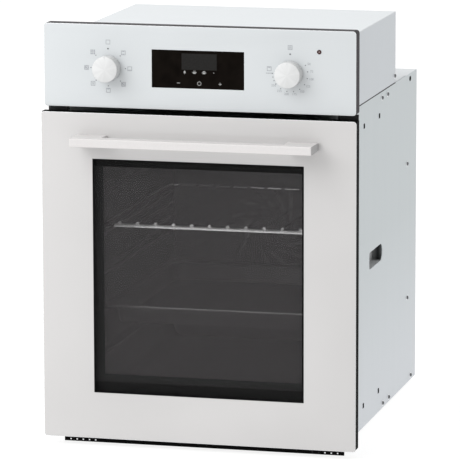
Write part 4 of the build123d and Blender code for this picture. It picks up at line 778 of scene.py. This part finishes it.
# End caps of the handle, following its side profile, in a darker grey than the handle: painted shade on its end
# faces
HANDLE_BAR_D = 17.0 * MM
HANDLE_ROOT_H = 10.6 * MM
HANDLE_CAP_T = 0.4 * MM
HANDLE_CAP_EDGE = 0.1 * MM
HANDLE_INSET = 0.3 * MM
handle_z = (HANDLE_LOW.z + HANDLE_HIGH.z) / 2
bar_h = HANDLE_HIGH.z - HANDLE_LOW.z
root_y = DOOR_Y - HANDLE_LOW.y
cap_profile = [(2 * HANDLE_INSET, bar_h), (HANDLE_BAR_D, bar_h), (root_y, HANDLE_ROOT_H)]
cap_loop = [(y, handle_z + h / 2 - HANDLE_INSET) for y, h in cap_profile]
cap_loop += [(y, handle_z - h / 2 + HANDLE_INSET) for y, h in reversed(cap_profile)]
for side, side_name in SIDES:
    cap_name = f"handle_end_{side_name}"
    end_cap = plate(cap_name, [cap_loop], 0, HANDLE_CAP_T, HANDLE_END_SHADE, "door", HANDLE_CAP_EDGE)
    seat = Matrix.Translation((side * HANDLE_HIGH.x + HANDLE_CAP_T / 2, HANDLE_LOW.y, 0))
    end_cap.data.transform(seat @ Matrix.Rotation(QUARTER_TURN, 4, "Z"))

# Print on the middle pane, round the clear view
VIEW_X = (-137.1 * MM, 145 * MM)
VIEW_Z = (102.0 * MM, 394.7 * MM)
PRINT_X = 168 * MM
PRINT_Z = (60 * MM, 430 * MM)
PRINT_SPLIT_Z = 91.2 * MM
PRINT_Y = PANE_LOW.y - INK_T
view_z = sum(VIEW_Z) / 2
view_h = VIEW_Z[1] - VIEW_Z[0]
left_band = rect((VIEW_X[0] - PRINT_X) / 2, view_z, PRINT_X + VIEW_X[0], view_h)
right_band = rect((VIEW_X[1] + PRINT_X) / 2, view_z, PRINT_X - VIEW_X[1], view_h)
sill = rect(0, (PRINT_SPLIT_Z + VIEW_Z[0]) / 2, 2 * PRINT_X, VIEW_Z[0] - PRINT_SPLIT_Z)
print_sides = [left_band, right_band, sill]
plate("pane_print_sides", print_sides, PRINT_Y, PANE_LOW.y, GREY_PRINT, "door")
head = rect(0, (VIEW_Z[1] + PRINT_Z[1]) / 2, 2 * PRINT_X, PRINT_Z[1] - VIEW_Z[1])
foot = rect(0, (PRINT_Z[0] + PRINT_SPLIT_Z) / 2, 2 * PRINT_X, PRINT_SPLIT_Z - PRINT_Z[0])
plate("pane_print_ends", [head, foot], PRINT_Y, PANE_LOW.y, BLACK_PRINT, "door")

# Knobs: flat spun faces with a painted sheen, a grooved rim and a pointer
KNOB_EDGE = 0.5 * MM
KNOB_GROOVE = 0.45 * MM
KNOB_STEPS = 128
# Ends of the knobs' painted sheen
KNOB_DIM_SHEEN = (0.527, 0.532, 0.532)
KNOB_BRIGHT_SHEEN = (0.587, 0.592, 0.592)
POINTER_INSET = 2.2 * MM
POINTER_W = 1.1 * MM
POINTER_L = 2.6 * MM
POINTER_ROOT = 0.3 * MM
for knob_name, body, node, low, high in (
    ("function_cap", "function_dial", "function_knob", FUNCTION_LOW, FUNCTION_HIGH),
    ("thermostat_cap", "thermostat_dial", "thermostat_knob", HEAT_LOW, HEAT_HIGH),
):
    knob_r = (high.x - low.x) / 2
    knob_x, knob_z = middle_of(low, high)
    profile = [
        (0, low.y),
        (knob_r - 2 * KNOB_EDGE, low.y),
        (knob_r - KNOB_EDGE, low.y + KNOB_EDGE / 2),
        (knob_r, low.y + 2 * KNOB_EDGE),
        (knob_r, high.y),
        (0, high.y),
    ]
    finish = spun(knob_name + "_spun", KNOB_DIM_SHEEN, KNOB_BRIGHT_SHEEN, knob_x, knob_z)
    cap = lathe(knob_name, profile, knob_x, knob_z, finish, body, KNOB_STEPS, KNOB_GROOVE)
    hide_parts(node)
    mark = rect(knob_x, knob_z + knob_r - POINTER_INSET, POINTER_W, POINTER_L)
    mark_name = knob_name + "_pointer"
    pointer = plate(mark_name, [mark], low.y - INK_T, low.y + POINTER_ROOT, POINTER_GREY, body)

# Wire rack: a chrome frame, chrome wires, and a rod along its front and tips on the wires in painted highlight
RACK_ROD_R = 2.5 * MM
RACK_WIRE_R = 1.6 * MM
RACK_WIRE_COUNT = 11
RACK_WIRE_SEAT = 0.8
RACK_TIP_L = 3 * MM
RACK_TIP_R = 2.2 * MM
RACK_PITCH = 26 * MM
RACK_CORNER_R = 16 * MM
RACK_JOIN_L = 1 * MM
RACK_Z = RACK_LOW.z + RACK_ROD_R
rack_x = RACK_HIGH.x - RACK_ROD_R
rack_front = RACK_LOW.y + RACK_ROD_R
rack_rear = RACK_HIGH.y - RACK_ROD_R
nose_x = rack_x - RACK_CORNER_R - RACK_JOIN_L
rack_back = [
    (nose_x, rack_front, RACK_Z),
    (rack_x, rack_front, RACK_Z),
    (rack_x, rack_rear, RACK_Z),
    (-rack_x, rack_rear, RACK_Z),
    (-rack_x, rack_front, RACK_Z),
    (-nose_x, rack_front, RACK_Z),
]
rack_frame = tube("rack_frame", rack_back, RACK_ROD_R, CHROME, "rack", RACK_CORNER_R)
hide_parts("wire_rack")
rack_nose = [(-nose_x, rack_front, RACK_Z), (nose_x, rack_front, RACK_Z)]
tube("rack_front_rod", rack_nose, RACK_ROD_R, RACK_HIGHLIGHT, "rack")
wire_z = RACK_Z + RACK_ROD_R + RACK_WIRE_R * RACK_WIRE_SEAT
for index in range(RACK_WIRE_COUNT):
    wire_x = (index - (RACK_WIRE_COUNT - 1) / 2) * RACK_PITCH
    ends = [(wire_x, rack_front, wire_z), (wire_x, rack_rear, wire_z)]
    tube(f"rack_wire_{index + 1:02d}", ends, RACK_WIRE_R, CHROME, "rack")
    # Painted glint: a bright tip on the front end of each wire
    tip = [(wire_x, rack_front - RACK_TIP_L, wire_z), (wire_x, rack_front, wire_z)]
    tube(f"rack_tip_{index + 1:02d}", tip, RACK_TIP_R, RACK_HIGHLIGHT, "rack")

# Rolled hem along the front of the baking tray, lighter than the tray: painted highlight along its front edge
HEM_R = 1.2 * MM
HEM_INSET = 12 * MM
hem_x = TRAY_HIGH.x - HEM_INSET
hem_ends = [(-hem_x, TRAY_LOW.y, TRAY_HIGH.z), (hem_x, TRAY_LOW.y, TRAY_HIGH.z)]
tube("tray_hem", hem_ends, HEM_R, HEM_HIGHLIGHT, "tray")

# Bright dots in the holes of the lower trim; the first ones on the right stay dark
TRIM_DOT = 2.0 * MM
TRIM_DOT_EDGE = 0.2 * MM
TRIM_DOT_FRONT = 0.3 * MM
TRIM_DOT_BACK = 0.1 * MM
TRIM_HOLE_PITCH = 9 * MM
TRIM_HOLE_COUNT = 5
TRIM_HOLE_RISE = 1 / 3
TRIM_DOT_SKIP = 2
trim_x = TRIM_HIGH.x - (TRIM_HOLE_COUNT + 1) * TRIM_HOLE_PITCH / 2
trim_z = TRIM_LOW.z + TRIM_HOLE_RISE * (TRIM_HIGH.z - TRIM_LOW.z)
dots_y = (TRIM_LOW.y + TRIM_DOT_FRONT, TRIM_HIGH.y - TRIM_DOT_BACK)
dot_loops = []
for side, first in ((-1, 0), (1, TRIM_DOT_SKIP)):
    for index in range(first, TRIM_HOLE_COUNT):
        hole_x = side * trim_x + (index - (TRIM_HOLE_COUNT - 1) / 2) * TRIM_HOLE_PITCH
        dot_loops.append(rect(hole_x, trim_z, TRIM_DOT, TRIM_DOT))
plate("trim_dots", dot_loops, *dots_y, WASHER, "case", TRIM_DOT_EDGE)

# Printing on the panel
INK_Y = PANEL_Y - INK_T
SYMBOL = 6.2 * MM
LINE = 0.65 * MM
DOT_R = 0.75 * MM
TOP_DOT_R = 1.15 * MM
HEAT_BAR_W = 0.5 * SYMBOL
HEAT_BAR_INSET = 2.2 * LINE
HEAT_BAR_Z = SYMBOL / 2 - HEAT_BAR_INSET
FAN_BLADE_L = 0.55 * SYMBOL
FAN_RING_R = 2.2 * MM
FAN_RING_LINE = 0.5 * MM
GRATE_W = SYMBOL - 4 * LINE
GRATE_LINE = 0.8 * LINE
GRATE_BARS = 3
DROP = 1.6 * MM
DROP_PITCH = 2.4 * MM
DROP_SHIFTS = (-1, 0, 1)
FUNCTION_X, DIAL_Z = middle_of(FUNCTION_LOW, FUNCTION_HIGH)
HEAT_X = (HEAT_LOW.x + HEAT_HIGH.x) / 2


def around(center_x, radius, degrees):
    """Place on a dial, clockwise from the top as the user sees it."""
    angle = math.radians(degrees)
    return center_x + radius * math.sin(angle), DIAL_Z + radius * math.cos(angle)


def symbol(x, z, kind):
    """Generic oven symbol as loops: a square cavity with what heats it, or a block of drops."""
    if kind == "defrost":
        shifts = [(i * DROP_PITCH, j * DROP_PITCH) for i in DROP_SHIFTS for j in DROP_SHIFTS]
        return [rect(x + across, z + up, DROP, DROP) for across, up in shifts]
    loops = outline(x, z, SYMBOL, SYMBOL, LINE)
    if kind in ("top", "both"):
        loops.append(rect(x, z + HEAT_BAR_Z, HEAT_BAR_W, LINE))
    if kind in ("bottom", "both"):
        loops.append(rect(x, z - HEAT_BAR_Z, HEAT_BAR_W, LINE))
    if kind == "fan":
        loops.append(rect(x, z, FAN_BLADE_L, LINE, DIAGONAL))
        loops += ring(x, z, FAN_RING_R, FAN_RING_LINE)
    if kind == "grill":
        for bar in range(GRATE_BARS):
            shift = (bar - (GRATE_BARS - 1) / 2) * GRATE_W / GRATE_BARS
            loops.append(rect(x, z + shift, GRATE_W, GRATE_LINE))
    return loops


# Function dial
FUNCTION_KINDS = ("empty", "both", "bottom", "fan", "top", "grill", "fan", "defrost")
SYMBOL_R = 30.8 * MM
SYMBOL_TOP_R = 36.1 * MM
DOT_RING_R = 24.6 * MM
TOP_DOT_RING_R = 26.9 * MM
function_dots = []
for index, kind in enumerate(FUNCTION_KINDS):
    degrees = index * 360 / len(FUNCTION_KINDS)
    top = index == 0
    symbol_x, symbol_z = around(FUNCTION_X, SYMBOL_TOP_R if top else SYMBOL_R, degrees)
    dot_x, dot_z = around(FUNCTION_X, TOP_DOT_RING_R if top else DOT_RING_R, degrees)
    function_dots.append(disc(dot_x, dot_z, TOP_DOT_R if top else DOT_R))
    loops = symbol(symbol_x, symbol_z, kind)
    plate(f"function_symbol_{index + 1}", loops, INK_Y, PANEL_Y, GREY_INK, "case")
plate("function_dots", function_dots, INK_Y, PANEL_Y, DARK_INK, "case")

# Thermostat dial; the numbers on its right are pushed out, clear of their dots
HEAT_FIRST = 60
HEAT_LAST = 234
HEAT_MARKS = (50, 75, 100, 125, 150, 175, 200, 225, 250)
HEAT_EXTRA = (246, 258, 270)
NUMBER_R = 28.4 * MM
NUMBER_H = 3.2 * MM
NUMBER_PUSH = 2.0 * MM
DIGIT_SHARE = 0.72
heat_dots = [disc(*around(HEAT_X, TOP_DOT_RING_R, 0), TOP_DOT_R)]
for degrees in HEAT_EXTRA:
    heat_dots.append(disc(*around(HEAT_X, DOT_RING_R, degrees), DOT_R))
for index, number in enumerate(HEAT_MARKS):
    degrees = HEAT_FIRST + index * (HEAT_LAST - HEAT_FIRST) / (len(HEAT_MARKS) - 1)
    heat_dots.append(disc(*around(HEAT_X, DOT_RING_R, degrees), DOT_R))
    text = bpy.data.curves.new(f"number_{number}", "FONT")
    text.body = str(number)
    text.size = NUMBER_H / DIGIT_SHARE
    text.extrude = INK_T / 2
    text.align_x = "CENTER"
    text.align_y = "CENTER"
    number_x, number_z = around(HEAT_X, NUMBER_R, degrees)
    number_x += NUMBER_PUSH * max(0, math.sin(math.radians(degrees)))
    mesh = baked(text)
    stand_up(mesh, number_x, PANEL_Y - INK_T / 2, number_z)
    add_piece(f"scale_number_{number}", mesh, GREY_INK, "case")
plate("thermostat_dots", heat_dots, INK_Y, PANEL_Y, DARK_INK, "case")
off_loops = symbol(*around(HEAT_X, SYMBOL_TOP_R, 0), "grill")
plate("thermostat_off_symbol", off_loops, INK_Y, PANEL_Y, GREY_INK, "case")

# Last position of the thermostat: a symbol over a row of small marks
END_R = 29.9 * MM
END_DEGREES = 282
END_MARK = 1.5 * MM
END_MARK_LINE = 0.4 * MM
END_MARK_PITCH = 2.2 * MM
END_MARK_COUNT = 4
END_MARK_DROP = 6.2 * MM
end_x, end_z = around(HEAT_X, END_R, END_DEGREES)
end_loops = symbol(end_x, end_z, "top")
for index in range(END_MARK_COUNT):
    mark_x = end_x + (index - (END_MARK_COUNT - 1) / 2) * END_MARK_PITCH
    end_loops += outline(mark_x, end_z - END_MARK_DROP, END_MARK, END_MARK, END_MARK_LINE)
plate("thermostat_end_symbol", end_loops, INK_Y, PANEL_Y, GREY_INK, "case")

# Display field
GLOW_Y = DISPLAY_Y - INK_T
LCD_X = 0.7 * MM
LCD_Z = 544.3 * MM
LCD_W = 49.6 * MM
LCD_H = 22.4 * MM
lcd_loop = rect(LCD_X, LCD_Z, LCD_W, LCD_H)
plate("display_field", [lcd_loop], GLOW_Y, DISPLAY_Y, LCD_GREY, "case")

# Display icons: a bell, a pot with steam, a pot with a lid and a diamond, drawn in units of the icons
ICON_MM = 0.86 * MM
ICON_Z = 529.8 * MM
BELL_X = -19.8 * MM
POT_X = -6.0 * MM
DISH_X = 7.6 * MM
DIAMOND_X = 21.4 * MM
BELL = ((-2.1, -1.6), (-1.5, -0.8), (-1.4, 1.0), (-0.8, 2.2), (0.8, 2.2), (1.4, 1.0), (1.5, -0.8), (2.1, -1.6))
CLAPPER_DROP = 2.4 * ICON_MM
CLAPPER_R = 0.6 * ICON_MM
POT = ((-2.6, 0.4), (-2.1, -2.2), (2.1, -2.2), (2.6, 0.4))
LID = ((-2.6, 0.9), (2.6, 0.9), (1.4, 2.3), (-1.4, 2.3))
EAR_X = (-3.3, 3.3)
EAR_DROP = 0.2 * ICON_MM
EAR_W = 1.0 * ICON_MM
EAR_H = 0.8 * ICON_MM
STEAM_X = (-1.5, 0, 1.5)
STEAM_RISE = 1.9 * ICON_MM
STEAM_W = 0.7 * ICON_MM
STEAM_H = 1.5 * ICON_MM
STEAM_TURN = 0.2
DIAMOND = 1.3 * ICON_MM


def icon(center_x, points):
    """Loop of an icon, from points in its units."""
    return [(center_x + x * ICON_MM, ICON_Z + z * ICON_MM) for x, z in points]


icons = [icon(BELL_X, BELL), disc(BELL_X, ICON_Z - CLAPPER_DROP, CLAPPER_R)]
for pot_x in (POT_X, DISH_X):
    icons.append(icon(pot_x, POT))
    for ear_x in EAR_X:
        icons.append(rect(pot_x + ear_x * ICON_MM, ICON_Z - EAR_DROP, EAR_W, EAR_H))
    if pot_x == DISH_X:
        icons.append(icon(pot_x, LID))
    else:
        for steam_x in STEAM_X:
            icons.append(rect(pot_x + steam_x * ICON_MM, ICON_Z + STEAM_RISE, STEAM_W, STEAM_H, STEAM_TURN))
icons.append(rect(DIAMOND_X, ICON_Z, DIAMOND, DIAMOND, DIAGONAL))
plate("display_icons", icons, GLOW_Y, DISPLAY_Y, LIT_MARK, "case")

# Touch keys of the display: minus, ring and plus
KEY_Z = 514.6 * MM
MINUS_X = -28.5 * MM
RING_X = 0.8 * MM
PLUS_X = 30.2 * MM
KEY_LINE = 0.75 * MM
KEY_SIZE = 4.2 * MM
KEY_RING_R = 2.9 * MM
key_half = KEY_LINE / 2
key_reach = KEY_SIZE / 2
plus = []
for turn in range(4):
    c, s = math.cos(QUARTER_TURN * turn), math.sin(QUARTER_TURN * turn)
    for across, along in ((-key_half, key_half), (-key_half, key_reach), (key_half, key_reach)):
        plus.append((PLUS_X + across * c + along * s, KEY_Z - across * s + along * c))
keys = [rect(MINUS_X, KEY_Z, KEY_SIZE, KEY_LINE), *ring(RING_X, KEY_Z, KEY_RING_R, KEY_LINE), plus]
plate("display_keys", keys, GLOW_Y, DISPLAY_Y, LIT_MARK, "case")

# Pilot lamp: dark collar round a lens
PILOT_STEPS = 32
PILOT_PROUD = 0.6 * MM
PILOT_SEAT = 0.6 * MM
PILOT_LENS_R = 1.1 * MM
PILOT_LIP_R = 1.4 * MM
PILOT_LIP_D = 0.2 * MM
PILOT_BORE_R = 2.55 * MM
PILOT_FLANGE_R = 3.1 * MM
PILOT_FLANGE_EDGE = 0.3 * MM
PILOT_SHORT = 4 * MM
LENS_DOME = ((0, -0.2 * MM), (0.6 * MM, -0.1 * MM), (PILOT_LENS_R, 0.3 * MM))
pilot_x, pilot_z = middle_of(PILOT_LOW, PILOT_HIGH)
pilot_face = PANEL_Y - PILOT_PROUD
collar_end = PILOT_HIGH.y - PILOT_SHORT
collar = [
    (PILOT_LENS_R, PANEL_Y + PILOT_SEAT),
    (PILOT_LENS_R, pilot_face + PILOT_LIP_D),
    (PILOT_LIP_R, pilot_face),
    (PILOT_FLANGE_R - PILOT_FLANGE_EDGE, pilot_face),
    (PILOT_FLANGE_R, pilot_face + PILOT_FLANGE_EDGE),
    (PILOT_FLANGE_R, PANEL_Y),
    (PILOT_BORE_R, PANEL_Y),
    (PILOT_BORE_R, collar_end),
    (PILOT_LENS_R, collar_end),
    (PILOT_LENS_R, PANEL_Y + PILOT_SEAT),
]
pilot = lathe("pilot_collar", collar, pilot_x, pilot_z, PILOT_RED, "case", PILOT_STEPS)
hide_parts("pilot_lamp")
lens = [(radius, PANEL_Y + depth) for radius, depth in LENS_DOME]
lens += [(PILOT_LENS_R, PILOT_HIGH.y), (0, PILOT_HIGH.y)]
lathe("pilot_lens", lens, pilot_x, pilot_z, PILOT_CORE, "case", PILOT_STEPS)

# Small pieces on the case sides, stacked from rings
RING_STEPS = 24
ROUND = 0
SQUARE = 4
HEXAGON = 6


def stacked(name, rings, place, outward, material, turn=0.0, stretch=1.0):
    """Closed solid of rings (radius, height, corners) on a face; a ring without corners is round."""
    verts = []
    for radius, height, corners in rings:
        for step in range(RING_STEPS):
            angle = 2 * math.pi * step / RING_STEPS
            reach = radius
            if corners:
                sector = 2 * math.pi / corners
                reach = radius * math.cos(sector / 2) / math.cos(angle % sector - sector / 2)
            spot = angle + turn
            verts.append((reach * math.cos(spot), stretch * reach * math.sin(spot), height))
    faces = side_faces(len(rings), RING_STEPS)
    faces.append(tuple(reversed(range(RING_STEPS))))
    faces.append(tuple(range((len(rings) - 1) * RING_STEPS, len(rings) * RING_STEPS)))
    mesh = mesh_from(name, verts, faces)
    aim = Vector((0, 0, 1)).rotation_difference(Vector(outward)).to_matrix().to_4x4()
    mesh.transform(Matrix.Translation(place) @ aim)
    return add_piece(name, mesh, material, "case")


# Case screws on both sides: pan heads with a hexagon socket, each on a bright washer; places are (y, z) in mm
SCREW_R = 2.7 * MM
SCREW_H = 1.8 * MM
SCREW_DOME = ((1.0, 0.0), (1.0, 0.45), (0.9, 0.8), (0.7, 1.0))
SOCKET_R = 1.4 * MM
SOCKET_D = 1.1 * MM
WASHER_R = 4.2 * MM
WASHER_T = 0.6 * MM
WASHER_STEP = 0.6 * WASHER_T
WASHER_BEVEL = 0.4 * WASHER_T
SIDE_SCREWS = (
    (9.5, 461.8),
    (47.3, 461.8),
    (188, 338.6),
    (192, 136.7),
    (220.2, 13.4),
    (62.9, 13.4),
    (21.0, 13.4),
    (95.5, 481.8),
)
screw_top = WASHER_T + SCREW_H
SCREW_RINGS = [(SCREW_R * share, WASHER_T + SCREW_H * rise, ROUND) for share, rise in SCREW_DOME]
SCREW_RINGS += [(SOCKET_R, screw_top, HEXAGON), (SOCKET_R, screw_top - SOCKET_D, HEXAGON)]
WASHER_RINGS = [
    (WASHER_R, 0, ROUND),
    (WASHER_R, WASHER_STEP, ROUND),
    (WASHER_R - WASHER_BEVEL, WASHER_T, ROUND),
]
for side, side_name in SIDES:
    outward = (side, 0, 0)
    for index, (screw_y, screw_z) in enumerate(SIDE_SCREWS):
        place = (side * CASE_X, screw_y * MM, screw_z * MM)
        stacked(f"case_screw_{side_name}_{index + 1}", SCREW_RINGS, place, outward, SCREW)
        stacked(f"case_washer_{side_name}_{index + 1}", WASHER_RINGS, place, outward, WASHER)

# Black caps with a flange, in the holes of the side panels, as painted shade inside the holes; places are (y,
# z) in mm
CAP_W = 7 * MM
CAP_R = CAP_W / math.sqrt(2)
CAP_T = 0.5 * MM
CAP_RINGS = [(CAP_R, 0, SQUARE), (CAP_R, CAP_T / 2, SQUARE), (CAP_R - CAP_T, CAP_T, SQUARE)]
OVAL_R = 3.8 * MM
OVAL_RINGS = [(OVAL_R, 0, ROUND), (OVAL_R, CAP_T / 2, ROUND), (OVAL_R - CAP_T, CAP_T, ROUND)]
OVAL_STRETCH = 1.5
SIDE_HOLES = ((-108.5, 37.5), (-108.5, 438.0), (-7.0, 37.5), (-7.0, 438.0))
OVAL_HOLE = (208.5, 462.8)
for side, side_name in SIDES:
    outward = (side, 0, 0)
    for index, (hole_y, hole_z) in enumerate(SIDE_HOLES):
        place = (side * CASE_X, hole_y * MM, hole_z * MM)
        name = f"hole_shade_cap_{side_name}_{index + 1}"
        stacked(name, CAP_RINGS, place, outward, BLACK_PAINT, DIAGONAL)
    place = (side * CASE_X, OVAL_HOLE[0] * MM, OVAL_HOLE[1] * MM)
    name = f"oval_cap_{side_name}"
    stacked(name, OVAL_RINGS, place, outward, BLACK_PAINT, stretch=OVAL_STRETCH)

# Dark beads in the seams between the side panels and the control box: painted shade in the seams
SEAM_Z = (CASE_HIGH.z + BOX_LOW.z) / 2
SEAM_R = 1.0 * MM
SEAM_INSET = 1.0 * MM
for side, side_name in SIDES:
    seam_x = side * (CASE_X - SEAM_R / 2)
    ends = [(seam_x, BOX_LOW.y + SEAM_INSET, SEAM_Z), (seam_x, BOX_HIGH.y - SEAM_INSET, SEAM_Z)]
    tube(f"seam_bead_{side_name}", ends, SEAM_R, RUBBER, "case")

# Grill tube under the roof
GRILL_R = 3.25 * MM
GRILL_BEND_R = 18 * MM
grill_x = GRILL_HIGH.x - GRILL_R
grill_z = (GRILL_LOW.z + GRILL_HIGH.z) / 2
grill_front = GRILL_LOW.y + GRILL_R
grill_points = [
    (-grill_x, GRILL_HIGH.y, grill_z),
    (-grill_x, grill_front, grill_z),
    (grill_x, grill_front, grill_z),
    (grill_x, GRILL_HIGH.y, grill_z),
]
grill_tube = tube("grill_tube", grill_points, GRILL_R, HEATER, "case", GRILL_BEND_R)
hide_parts("grill_element")

# Camera
camera = bpy.data.objects.new("camera", bpy.data.cameras.new("camera"))
camera.data.lens = CAMERA_LENS
camera.data.sensor_width = CAMERA_SENSOR
camera.data.clip_end = CAMERA_CLIP_END
back = Vector(
    (
        math.sin(CAMERA_YAW) * math.cos(CAMERA_PITCH),
        -math.cos(CAMERA_YAW) * math.cos(CAMERA_PITCH),
        math.sin(CAMERA_PITCH),
    )
)
level = Vector((math.cos(CAMERA_YAW), math.sin(CAMERA_YAW), 0))
upright = back.cross(level)
right = math.cos(CAMERA_ROLL) * level + math.sin(CAMERA_ROLL) * upright
up = math.cos(CAMERA_ROLL) * upright - math.sin(CAMERA_ROLL) * level
camera.matrix_world = Matrix.Translation(CAMERA_PLACE) @ Matrix((right, up, back)).transposed().to_4x4()
bpy.context.scene.collection.objects.link(camera)
bpy.context.scene.camera = camera

# White floor with a glow of its own, just under the oven
FLOOR_SIZE = 30.0
FLOOR_DROP = 0.2 * MM
FLOOR_GREY = (0.2, 0.2, 0.2)
FLOOR_ROUGHNESS = 0.9
FLOOR_GLOW = 0.85
WHITE = (1, 1, 1, 1)
floor_white = new_material(
    "floor_white", FLOOR_GREY, FLOOR_ROUGHNESS, Emission_Color=WHITE, Emission_Strength=FLOOR_GLOW
)
floor_mesh = bpy.data.meshes.new("floor")
floor_verts = [(FLOOR_SIZE * x, FLOOR_SIZE * y, 0) for x, y in BOX_CORNERS]
floor_mesh.from_pydata(floor_verts, [], [(0, 1, 2, 3)])
floor_mesh.materials.append(floor_white)
floor = bpy.data.objects.new("floor", floor_mesh)
floor.location.z = CAD_BOX[0].z - FLOOR_DROP
bpy.context.scene.collection.objects.link(floor)

# White sky, brighter on the user's left
SKY_LEFT = 1.48
SKY_RIGHT = 0.52
world = bpy.data.worlds.new("studio")
world.use_nodes = True
world_nodes, world_links = world.node_tree.nodes, world.node_tree.links
sky_place = world_nodes.new("ShaderNodeTexCoord")
sky_split = world_nodes.new("ShaderNodeSeparateXYZ")
sky_spread = world_nodes.new("ShaderNodeMapRange")
sky_spread.inputs["From Min"].default_value = -1.0
sky_spread.inputs["To Min"].default_value = SKY_LEFT
sky_spread.inputs["To Max"].default_value = SKY_RIGHT
world_links.new(sky_place.outputs["Generated"], sky_split.inputs["Vector"])
world_links.new(sky_split.outputs["X"], sky_spread.inputs["Value"])
world_links.new(sky_spread.outputs["Result"], world_nodes["Background"].inputs["Strength"])
world_nodes["Background"].inputs["Color"].default_value = WHITE
bpy.context.scene.world = world
bpy.context.scene.view_settings.view_transform = "Standard"

# Lamps: a large soft one from the upper left front, and a faint one behind the door panes
KEY_LIGHT_PLACE = (-1.75, -2.3, 2.5)
KEY_LIGHT_TARGET = (0, -0.2, 0.35)
KEY_LIGHT_SIZE = (2.6, 2.6)
KEY_LIGHT_POWER = 77
CAVITY_LIGHT_PLACE = (0.02, -0.2565, 0.235)
CAVITY_LIGHT_TARGET = (0.02, 0, 0.235)
CAVITY_LIGHT_SIZE = (0.28, 0.13)
CAVITY_LIGHT_POWER = 0.3


def soft_light(name, place, target, size, power):
    """Flat lamp of a width and a height, aimed at a point."""
    lamp = bpy.data.lights.new(name, "AREA")
    lamp.energy = power
    lamp.shape = "RECTANGLE"
    lamp.size, lamp.size_y = size
    holder = bpy.data.objects.new(name, lamp)
    holder.location = place
    holder.rotation_euler = (Vector(target) - Vector(place)).to_track_quat("-Z", "Y").to_euler()
    bpy.context.scene.collection.objects.link(holder)
    return holder


soft_light("key", KEY_LIGHT_PLACE, KEY_LIGHT_TARGET, KEY_LIGHT_SIZE, KEY_LIGHT_POWER)
cavity_light = soft_light(
    "cavity_light", CAVITY_LIGHT_PLACE, CAVITY_LIGHT_TARGET, CAVITY_LIGHT_SIZE, CAVITY_LIGHT_POWER
)
cavity_light.visible_camera = False
